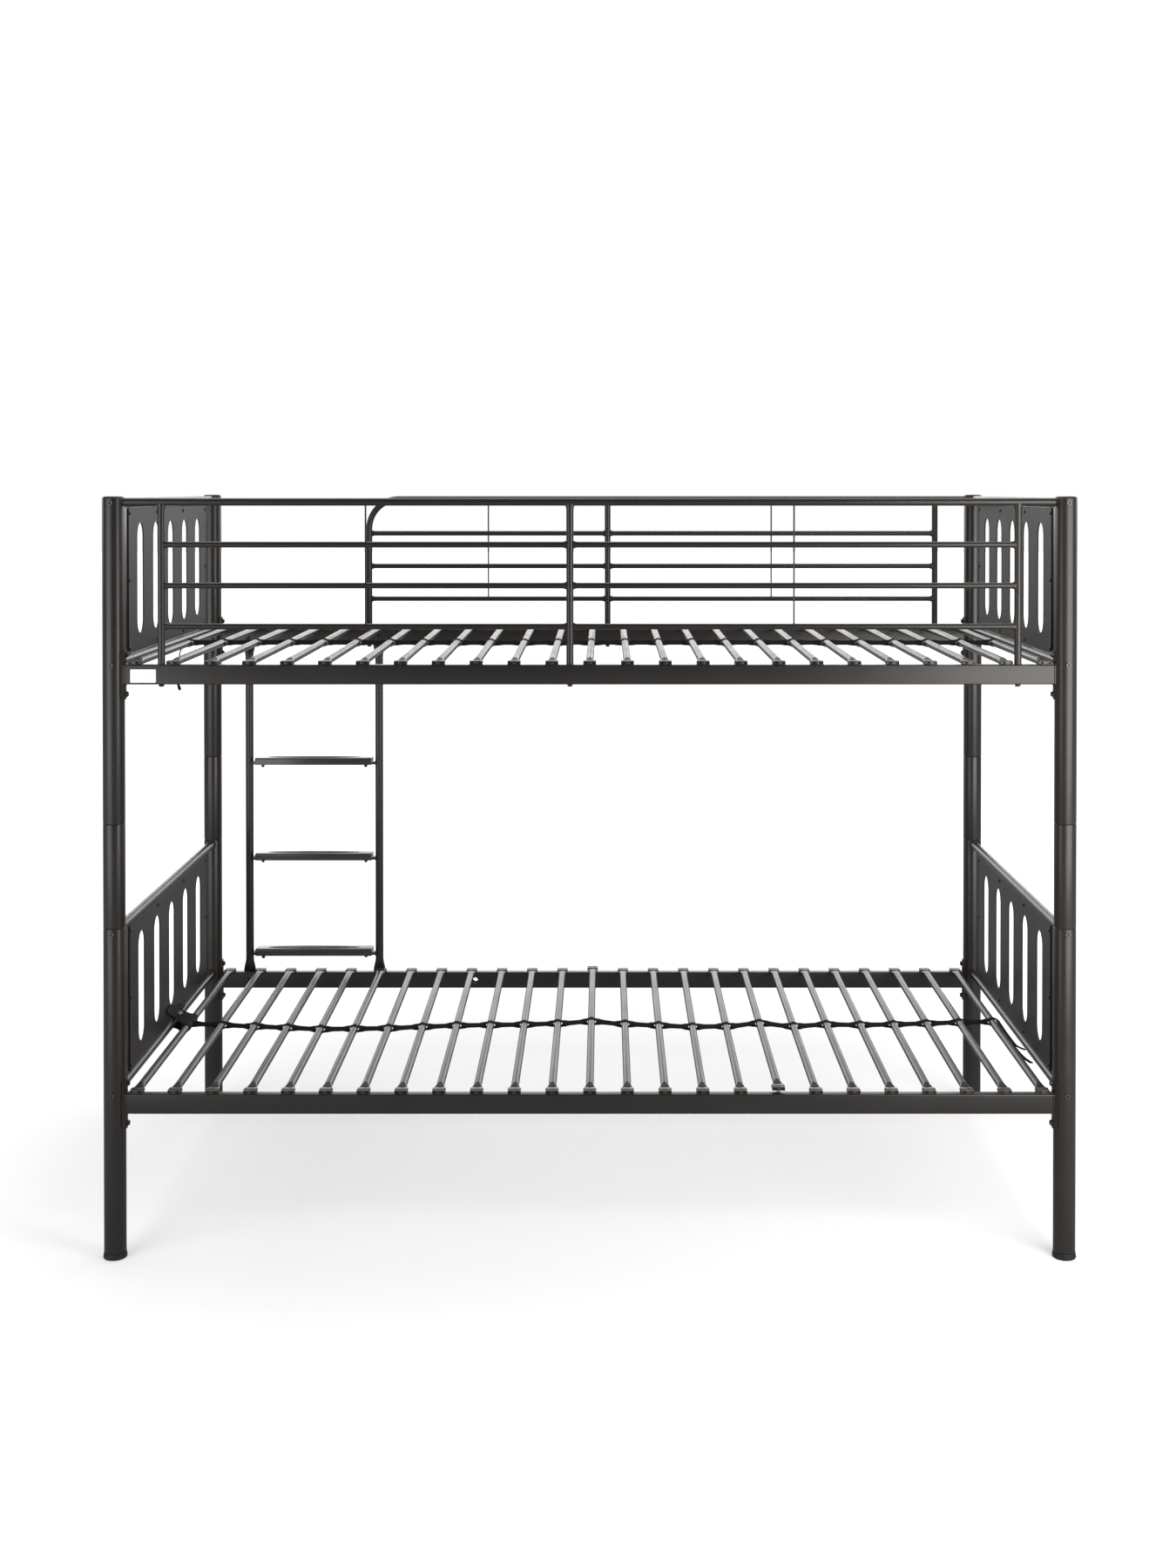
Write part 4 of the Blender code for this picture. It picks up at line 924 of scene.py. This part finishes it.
def smooth(t):
    t = min(1.0, max(0.0, t))
    return t * t * (3 - 2 * t)


def pressed_tube(shape, start, end, diameter, flat_width, flat_thickness, flat, taper, sides=24):
    """A tube whose two ends are pressed flat, wide along X."""
    start, end = Vector(start), Vector(end)
    length = (end - start).length
    stations = [0, flat * 0.5, flat] + [flat + taper * step / 8 for step in range(1, 9)]
    stations += [length - s for s in reversed(stations)]
    sections = []
    for s in stations:
        roundness = smooth((min(s, length - s) - flat) / taper)
        sections.append(oval(flat_width + (diameter - flat_width) * roundness,
                             flat_thickness + (diameter - flat_thickness) * roundness, sides,
                             0.62 + 0.38 * roundness))
    loft(shape, frames_along([start.lerp(end, s / length) for s in stations], side=(1, 0, 0)), sections)


def ladder_steel(shape):
    for x in STILE_XS:
        pressed_tube(shape, (x, STILE_Y, LADDER_LOW), (x, STILE_Y, LADDER_HIGH), 0.020, 0.030, 0.006, 0.040, 0.032)
    for top in TREAD_TOPS:
        z = top - RUNG_DROP
        block(shape, (STILE_XS[1] - STILE_XS[0] - 0.012, 0.024, 0.006), (LADDER_X, STILE_Y, z), 0.0010)
        for x, way in zip(STILE_XS, (1, -1)):
            block(shape, (0.0035, 0.0255, 0.0078), (x + way * 0.0098, STILE_Y, z), 0.0016)


settle("ladder_steelwork", mesh_of(ladder_steel), ["ladder_frame"])

# %% [markdown]
# A tread is a black moulding with a duller pad, pointed at both ends, and a band of grip ribs in its
# middle. The ribs are a repeat, so a small tree sets them along a line. Two cap nuts under each
# rung hold the tread, and one of them has come loose, as in the photograph.

# %% Tree: grip ribs
ribbed = geometry_tree("grip_ribs", ribs="Int", rib_pitch="Float", rib_size="Vector", rib_place="Vector")
given = ribbed.given
rib = ribbed("GeometryNodeMeshCube", {"Size": given["Rib size"]})
ribs = ribbed.set_on(ribbed.row(given["Ribs"], given["Rib pitch"], given["Rib place"]), rib)
ribbed.finish(ribbed.join(given["Geometry"], ribs))

# %% Treads
TREAD_SECTION = [(0.0123, -0.0180), (0.0210, -0.0180), (0.0210, -0.0040), (0.0204, -0.0018), (0.0188, -0.0006),
                 (0.0160, -0.0004), (-0.0160, -0.0004), (-0.0188, -0.0006), (-0.0204, -0.0018), (-0.0210, -0.0040),
                 (-0.0210, -0.0180), (-0.0123, -0.0180), (-0.0123, -0.0118), (0.0123, -0.0118)]
TREAD_ENDS = [(-0.1482, 0.90), (-0.1474, 0.96), (-0.1458, 1.0), (0.1454, 1.0), (0.1470, 0.96), (0.1478, 0.90)]
SKIRT = -0.01
PAD_REACH, PAD_HALF, PAD_STEPS = 0.118, 0.0135, 32
ALONG_X = Matrix(((0, 0, 1, 0), (1, 0, 0, 0), (0, 1, 0, 0), (0, 0, 0, 1)))


def tread_body(shape, top):
    """A moulded step: a rounded shell with a channel for the rung."""
    loft(shape, [Matrix.Translation((LADDER_X + x, STILE_Y, top)) @ ALONG_X for x, share in TREAD_ENDS],
         [[(a * (1 - (1 - share) * 0.3), b if b < SKIRT else b - (1 - share) * 0.012) for a, b in TREAD_SECTION]
          for x, share in TREAD_ENDS])


def tread_pad(shape, top):
    """A lens-shaped pad of a duller plastic, let into the step."""
    outline = []
    for step in range(PAD_STEPS + 1):
        t = -1 + 2 * step / PAD_STEPS
        outline.append((PAD_REACH * t, PAD_HALF * (1 - t * t) ** 0.62))
    outline += [(x, -y) for x, y in outline[-2:0:-1]]
    rings = []
    for lift, inset in ((-0.0010, 0.0), (-0.0001, 0.0), (0.0, 0.0006)):
        shares = [1 - inset / (math.hypot(x, y) or 1.0) for x, y in outline]
        rings.append([shape.verts.new((LADDER_X + x * share, STILE_Y + y * share, top + lift))
                      for (x, y), share in zip(outline, shares)])
    for low, high in zip(rings, rings[1:]):
        bridge(shape, low, high)
    shape.faces.new(rings[-1])
    shape.faces.new(list(reversed(rings[0])))


for index, top in enumerate(TREAD_TOPS, 1):
    settle(f"tread_moulding_{index}", mesh_of(tread_body, top), [f"ladder_tread_{index}"], tread_plastic)
    pad = grown(ribbed, mesh_of(tread_pad, top), ribs=15, rib_pitch=0.0046, rib_size=(0.0020, 0.021, 0.0012),
                rib_place=(LADDER_X, STILE_Y, top - 0.0002), finish=pad_plastic)
    settle(f"tread_pad_{index}", pad, (), pad_plastic)
NUT_X, NUT_Y = 0.131, STILE_Y - 0.002
tread_nuts = [((LADDER_X + way * NUT_X, NUT_Y, top - 0.0179), (0, 0, -1)) for top in TREAD_TOPS for way in (-1, 1)]
tread_nuts[0] = ((LADDER_X - NUT_X, NUT_Y, TREAD_TOPS[0] - 0.0205), (0.12, 0, -1))
fastened("tread_nuts", mesh_of(cap_nut), tread_nuts, 4)

# %% [markdown]
# ## Slats
# A slat is a 16 mm tube whose ends are pressed flat into plastic caps, and each cap has a split peg.
# All slats of a berth are alike and evenly spaced, so one tree sets a row of them. It can also tip
# single slats whose caps have popped out of their holes, as two have in the photograph.

# %% Tree: slat row
slatted = geometry_tree(
    "slat_row", slat="Object", slats="Int", slat_pitch="Float", row_place="Vector", front_slat="Int",
    front_lift="Float", rear_slat="Int", rear_lift="Float", cap_reach="Float")
given = slatted.given
slat_model = slatted("GeometryNodeObjectInfo", {"Object": given["Slat"]}).outputs["Geometry"]
tipped = slatted.set_on(slatted.row(given["Slats"], given["Slat pitch"], given["Row place"]), slat_model)
number = slatted("GeometryNodeInputIndex")
for end, sign in (("Front", -1.0), ("Rear", 1.0)):
    chosen = slatted("FunctionNodeCompare", {2: number, 3: given[f"{end} slat"]}, data_type="INT", operation="EQUAL")
    half_lift = slatted.calc("MULTIPLY", given[f"{end} lift"], 0.5)
    angle = slatted.calc("MULTIPLY", slatted.calc("DIVIDE", half_lift, given["Cap reach"]), sign)
    tilt = slatted("FunctionNodeEulerToRotation", {0: slatted.vector(X=angle)})
    lift = slatted.vector(Z=half_lift)
    lifted = slatted("GeometryNodeTranslateInstances", {
        "Instances": tipped, "Selection": chosen, "Translation": lift, "Local Space": False})
    tipped = slatted("GeometryNodeRotateInstances", {
        "Instances": lifted, "Selection": chosen, "Rotation": tilt, "Local Space": True})
slatted.finish(tipped)

# %% Slat and cap models
CAP_REACH = 0.45575
SLAT_HALF = CAP_REACH - 0.0105 + 0.012
CAP_BOTTOM = -0.0035


def slat_tube(shape):
    pressed_tube(shape, (0, -SLAT_HALF, 0), (0, SLAT_HALF, 0), 0.016, 0.0235, 0.0050, 0.012, 0.024, 20)


def slat_caps(shape):
    """Two blocks with two hollows in their outer face, a collar towards the slat and a split peg."""
    for way in (-1, 1):
        y = way * CAP_REACH
        peg_y = way * (HALF_Y - HOLE_IN) + MAT_FORWARD
        blocks = [((0.0265, 0.0150, 0.0075), 0, y - way * 0.0030, 0.00375, 0.0012, 2),
                  ((0.0250, 0.0030, 0.0066), 0, y + way * 0.0045, 0.0036, 0.0006, 1),
                  ((0.0262, 0.0048, 0.0022), 0, y + way * 0.0081, 0.0064, 0.0008, 2),
                  ((0.0262, 0.0048, 0.0012), 0, y + way * 0.0081, 0.0006, 0.0004, 2),
                  ((0.0085, 0.0046, 0.0060), 0, y + way * 0.0080, 0.0036, 0.0008, 2)]
        for side in (-1, 1):
            blocks += [((0.0018, 0.0046, 0.0066), side * 0.0121, y + way * 0.0080, 0.0037, 0.0007, 2),
                       ((0.0022, 0.0060, 0.0120), side * 0.0018, peg_y, -0.0055, 0.0005, 2),
                       ((0.0012, 0.0060, 0.0022), side * 0.0032, peg_y, -0.0090, 0.0004, 2)]
        for size, x, along, rise, rounding, segments in blocks:
            block(shape, size, (x, along, CAP_BOTTOM + rise), rounding, segments)


print("slat reaches", round(SLAT_HALF, 4), "m each way")

# %% Two berths of slats
POPPED = {"lower": dict(front_slat=17, front_lift=0.007, rear_slat=12, rear_lift=0.005),
          "upper": dict(front_slat=-1, front_lift=0.0, rear_slat=-1, rear_lift=0.0)}
tube_model, cap_model = (linked("model", mesh_of(fill)) for fill in (slat_tube, slat_caps))
for level, base in LEVELS:
    body = f"{level}_slat_mat"
    for kind, model_item, nodes, finish, slot in (("tubes", tube_model, [body], graphite_coat, STEEL),
                                                  ("caps", cap_model, (), cap_plastic, PLASTIC)):
        row = grown(slatted, slat=model_item, finish=finish, slats=SLAT_COUNT, slat_pitch=SLAT_PITCH,
                    row_place=(0, -MAT_FORWARD, base + SLAT_AXIS_RISE), cap_reach=CAP_REACH, **POPPED[level])
        settle(f"{level}_slat_{kind}", row, nodes, finish, body)
without(tube_model, cap_model)

# %% [markdown]
# ## Elastic straps
# Two elastic strands tie the slats of a berth together. Each passes over one slat and under the
# next, so they cross in every gap, where both stand on edge. A tree sweeps a flat section along each
# strand's path: the path's tilt turns the band, and its length and width are kept as a UV map.


# %% Tree: elastic band
def stored(geometry, name, value, kind="FLOAT", domain="POINT"):
    return swept("GeometryNodeStoreNamedAttribute", {"Geometry": geometry, "Name": name, "Value": value},
                 data_type=kind, domain=domain)


def named(name):
    return swept("GeometryNodeInputNamedAttribute", {"Name": name}, data_type="FLOAT")


swept = geometry_tree("elastic_band", path="Object", band_width="Float", band_thickness="Float")
given = swept.given
path = swept("GeometryNodeObjectInfo", {"Object": given["Path"]}).outputs["Geometry"]
upright = swept("GeometryNodeSetCurveNormal", {"Curve": path}, mode="Z_UP")
along = swept("GeometryNodeSplineParameter").outputs["Length"]
edge_radius = swept.calc("MULTIPLY", given["Band thickness"], 0.48)
section = swept.oblong(given["Band width"], given["Band thickness"], edge_radius, 3)
across = swept("ShaderNodeSeparateXYZ", {0: swept("GeometryNodeInputPosition")}).outputs["X"]
line, profile = stored(upright, "along", along), stored(section, "across", across)
band_mesh = swept("GeometryNodeCurveToMesh", {"Curve": line, "Profile Curve": profile, "Fill Caps": True})
band_place = swept.vector(X=named("along"), Y=named("across"))
swept.finish(stored(band_mesh, "band", band_place, "FLOAT2", "CORNER"))

# %% [markdown]
# The straps aren't straight: in the photograph the lower one wanders a few centimetres to and fro.
# The list gives its place at each slat, in millimetres from the middle towards the ladder.

# %% Strand paths
DRIFT = (0, -10, -21, -31, -42, -39, -35, -24, -14, -10, -7, 1, 8, -3, -14, -24, -20, -10, -20, -6, -10, -6, 1, 9, 15)
STRAND_RADIUS, STRAND_WIDTH, STRAND_THICKNESS = 0.0090, 0.0102, 0.0018
CONTACT, CONTACT_STEPS, GAP_STEPS = math.radians(40), 3, 14
STAND_CLEAR = 0.0011


def drift_at(x):
    place = min(max(x / SLAT_PITCH + (SLAT_COUNT - 1) / 2, 0.0), SLAT_COUNT - 1.0)
    index = min(int(place), SLAT_COUNT - 2)
    share = smooth(place - index)
    return (DRIFT[index] * (1 - share) + DRIFT[index + 1] * share) / 1000


def strand_points(z, phase, drift, lifted):
    """Points and tilts of one strand that goes over slats of one parity and under the others."""
    points = []
    lift, edge = STRAND_RADIUS * math.cos(CONTACT), STRAND_RADIUS * math.sin(CONTACT)
    for index in range(SLAT_COUNT):
        x = (index - (SLAT_COUNT - 1) / 2) * SLAT_PITCH
        up = 1 if (index + phase) % 2 == 0 else -1
        here, there = lifted.get(index, 0.0), lifted.get(index + 1, 0.0)
        for step in range(-CONTACT_STEPS, CONTACT_STEPS + 1):
            a = CONTACT * step / CONTACT_STEPS
            points.append((x + STRAND_RADIUS * math.sin(a), 0.0, up * STRAND_RADIUS * math.cos(a) + here, 0.0))
        for step in range(1, GAP_STEPS if index < SLAT_COUNT - 1 else 1):
            t = step / GAP_STEPS
            fall = math.copysign(abs(1 - 2 * t) ** 3.0, 1 - 2 * t)
            points.append((x + edge + (SLAT_PITCH - 2 * edge) * t, up * STAND_CLEAR * math.sin(math.pi * t),
                           up * lift * fall + here * (1 - smooth(t)) + there * smooth(t),
                           QUARTER * smooth(min(t, 1 - t) / 0.24)))
    return [((x, y + drift(x), z + dz), tilt) for x, y, dz, tilt in points]


def band_along(points, width, thickness, shares=None):
    """Sweeps a band along points with tilts, as wide as each point's share, and returns its mesh."""
    curve = bpy.data.curves.new("strand", "CURVE")
    curve.dimensions = "3D"
    spline = curve.splines.new("POLY")
    spline.points.add(len(points) - 1)
    for index, (item, (place, tilt)) in enumerate(zip(spline.points, points)):
        item.co = (*place, 1)
        item.tilt = tilt
        item.radius = shares[index] if shares else 1.0
    path_item = linked("path", curve)
    mesh = grown(swept, path=path_item, band_width=width, band_thickness=thickness, finish=elastic_black)
    without(path_item)
    return mesh


for level, raised, drift in (("lower", {17: 0.0036, 12: 0.0025}, drift_at),
                             ("upper", {}, lambda x: 0.012 + 0.006 * math.sin(x * 7))):
    axis = dict(LEVELS)[level] + SLAT_AXIS_RISE
    for phase, strand in enumerate(("first", "second")):
        mesh = band_along(strand_points(axis, phase, drift, raised), STRAND_WIDTH, STRAND_THICKNESS)
        settle(f"{level}_elastic_{strand}", mesh, (), elastic_black, f"{level}_slat_mat", SOFT_EDGE)

# %% [markdown]
# The ends of the straps hang loose. A smooth line through a few places gives each tail its path, and
# the band grows wider or narrower along it. On the upper berth's left the tail hangs down past the
# cross rail and ends in a small fishtail. On the lower berth's right two tails lie along the last slat.

# %% Loose tails
TAIL_THICKNESS = 0.0016


def through(places, steps=6):
    """A smooth line through a few places (Catmull-Rom)."""
    knots = [Vector(place) for place in (places[0], *places, places[-1])]
    line = []
    for before, start, end, after in zip(knots, knots[1:], knots[2:], knots[3:]):
        for step in range(steps):
            t = step / steps
            line.append(start + ((end - before) * t + (2 * before - 5 * start + 4 * end - after) * t ** 2
                                 + (3 * start - before - 3 * end + after) * t ** 3) / 2)
    return [tuple(point) for point in line] + [tuple(knots[-1])]


def tail(name, level, places, width, ends, tilt=lambda t: 0.0, stands_for=()):
    """A loose tail. Heights are from the slats' axis; ends gives its shares of width, last step first."""
    axis = dict(LEVELS)[level] + SLAT_AXIS_RISE
    line = through([(x, y, axis + rise) for x, y, rise in places])
    last = len(line) - 1
    shares = [1.0] * (len(line) - len(ends)) + list(reversed(ends))
    stations = [(place, tilt(index / last)) for index, place in enumerate(line)]
    mesh = band_along(stations, width, TAIL_THICKNESS, shares)
    settle(name, mesh, stands_for, elastic_black, f"{level}_slat_mat", SOFT_EDGE)


tail("upper_strap_end", "upper",
     [(-0.9204, 0.014, -0.0095), (-0.9310, 0.014, -0.0110), (-0.9405, 0.014, -0.0173), (-0.9440, 0.014, -0.0318),
      (-0.9468, 0.014, -0.0648), (-0.9476, 0.014, -0.0898), (-0.9445, 0.012, -0.1018), (-0.9410, 0.010, -0.1088)],
     0.0080, (1.15, 0.95, 0.72, 0.7), lambda t: QUARTER * smooth((t - 0.80) / 0.15), ["upper_strap_tail"])
tail("lower_strap_end_thin", "lower",
     [(0.9240, 0.014, 0.0090), (0.9300, 0.012, 0.0060), (0.9330, 0.0, 0.0020), (0.9332, -0.060, 0),
      (0.9334, -0.130, 0), (0.9345, -0.160, 0), (0.9405, -0.172, -0.001), (0.9505, -0.182, -0.003)],
     0.0075, (0.3, 0.6, 0.9))
tail("lower_strap_end_wide", "lower",
     [(0.9295, -0.100, -0.006), (0.9305, -0.150, -0.004), (0.9325, -0.200, -0.004), (0.9345, -0.228, -0.004),
      (0.9385, -0.250, -0.004), (0.9450, -0.266, -0.005)], 0.0085, (0.12, 0.5, 0.85, 1.15, 1.3, 1.3, 1.2))

# %% [markdown]
# At the lower berth's left end a broad sleeve of the same elastic holds the strap to the cross rail,
# with a steel eyelet through it and a dark flap that stands up against the panel: partly the strap's
# folded end, partly painted shadow on the panel. It is a belt round two rods of nearly equal thickness.
# The slats can be lifted off; the belt runs between the frame and the slats.

# %% Strap anchor
BELT_ON_RAIL, BELT_ON_SLAT, BELT_THICKNESS = 0.0103, 0.0083, 0.0016
BELT_COLUMNS, BELT_ARC_STEPS, BELT_SPAN_STEPS = 9, 10, 5
FOLD_AND_SHADOW_STEPS = 22
CROSS_TOP = LOWER_BASE + LOW_CROSS_RISE
FACING_Y = Matrix(((1, 0, 0, 0), (0, 0, 1, 0), (0, 1, 0, 0), (0, 0, 0, 1)))


def belt_line(rail, slat):
    """A closed line round two rods in the XZ plane, with the way that it faces at each point."""
    rods = ((Vector((rail[0], 0, rail[1])), BELT_ON_RAIL, 1), (Vector((slat[0], 0, slat[1])), BELT_ON_SLAT, -1))
    line = []
    for (centre, radius, sign), (other, other_radius, other_sign) in zip(rods, rods[::-1]):
        for step in range(BELT_ARC_STEPS + 1):
            a = sign * QUARTER + math.pi * step / BELT_ARC_STEPS
            way = Vector((math.cos(a), 0, math.sin(a)))
            line.append((centre + way * radius, way))
        here, there = line[-1][0], other + Vector((0, 0, other_sign * other_radius))
        line += [(here.lerp(there, step / BELT_SPAN_STEPS), line[-1][1]) for step in range(1, BELT_SPAN_STEPS)]
    return line


def anchor_belt(shape):
    rail = (-HALF_X, CROSS_TOP)
    slat = (-SLAT_PITCH * (SLAT_COUNT - 1) / 2, LOWER_BASE + SLAT_AXIS_RISE)
    layers = []
    for thickness in (0.0, BELT_THICKNESS):
        rows = []
        for place, way in belt_line(rail, slat):
            share = smooth((place.x - rail[0]) / (slat[0] - rail[0]))
            near, far = 0.018 * (1 - share) - 0.034 * share, 0.086 * (1 - share) + 0.046 * share
            rows.append([shape.verts.new(place + way * (thickness + 0.0004 * math.sin(column * 2.1 + place.x * 400))
                                         + Vector((0, near + (far - near) * column / (BELT_COLUMNS - 1), 0)))
                         for column in range(BELT_COLUMNS)])
        layers.append(rows)
    shell(shape, *layers, looped=True)


def anchor_fold_and_shadow(shape):
    """The folded end and its shadow: one soft dark flap before the panel's foot that leans up to the front, partly
    the strap's fold and partly painted shadow on the panel.
    """
    frames, sections = [], []
    foot = CROSS_TOP + 0.0085
    for step in range(FOLD_AND_SHADOW_STEPS + 1):
        t = step / FOLD_AND_SHADOW_STEPS
        low = foot + 0.028 * smooth((t - 0.45) / 0.55)
        high = foot + 0.009 + 0.040 * t + 0.0016 * math.sin(11 * t)
        frames.append(Matrix.Translation((-0.9574, 0.112 - 0.166 * t, (low + high) / 2)) @ FACING_Y)
        sections.append(oval(0.0024, (high - low) * (1 - 0.6 * smooth((t - 0.88) / 0.12)), 16, 0.8))
    loft(shape, frames, sections)


def with_weave_map(mesh):
    """Gives a mesh the band map that the elastic's weave reads: along the fold, and across it."""
    layer = mesh.uv_layers.new(name="band")
    for corner in mesh.loops:
        place = mesh.vertices[corner.vertex_index].co
        layer.data[corner.index].uv = (place.y, place.x + place.z)
    return mesh


belt = settle("lower_strap_anchor_belt", with_weave_map(mesh_of(anchor_belt)), ["lower_strap_anchor"],
              elastic_black, None, SOFT_EDGE)
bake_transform(belt)
# This flap is partly the strap's folded end and partly a painted shadow on the panel, in the dark elastic.
settle("lower_strap_anchor_fold", with_weave_map(mesh_of(anchor_fold_and_shadow)), (), elastic_black,
       sharp=SOFT_EDGE)
EYELET = [(0.0026, 0.0002), (0.0030, 0.0014), (0.0042, 0.0020), (0.0054, 0.0015), (0.0060, 0.0002),
          (0.0054, -0.0008), (0.0030, -0.0010)]
eyelet_at = (Matrix.Translation((-0.9528, 0.0500, CROSS_TOP + 0.0128))
             @ Matrix.Rotation(math.radians(18), 4, "Y") @ Matrix.Rotation(math.radians(14), 4, "X"))
settle("lower_strap_eyelet", mesh_of(turned, EYELET, eyelet_at, 28, True), (), eyelet_steel)

# %% [markdown]
# A small plain white patch is stuck on the upper front rail near its left end.


# %% Blank patch
def blank_patch(shape):
    outline = rounded_section(0.052, 0.027, 0.0022, 5)
    facing_front = Matrix(((1, 0, 0, 0), (0, 0, -1, 0), (0, 1, 0, 0), (0, 0, 0, 1)))
    centre = Matrix.Translation((-0.9030, -HALF_Y - RAIL_DEPTH / 2, 1.1835)) @ facing_front
    loft(shape, [centre @ Matrix.Translation((0, 0, lift)) for lift in (-0.0002, 0.00020, 0.00026)],
         [outline, outline, [(x * 0.995, y * 0.99) for x, y in outline]])


settle("blank_patch", mesh_of(blank_patch), (), patch_film)
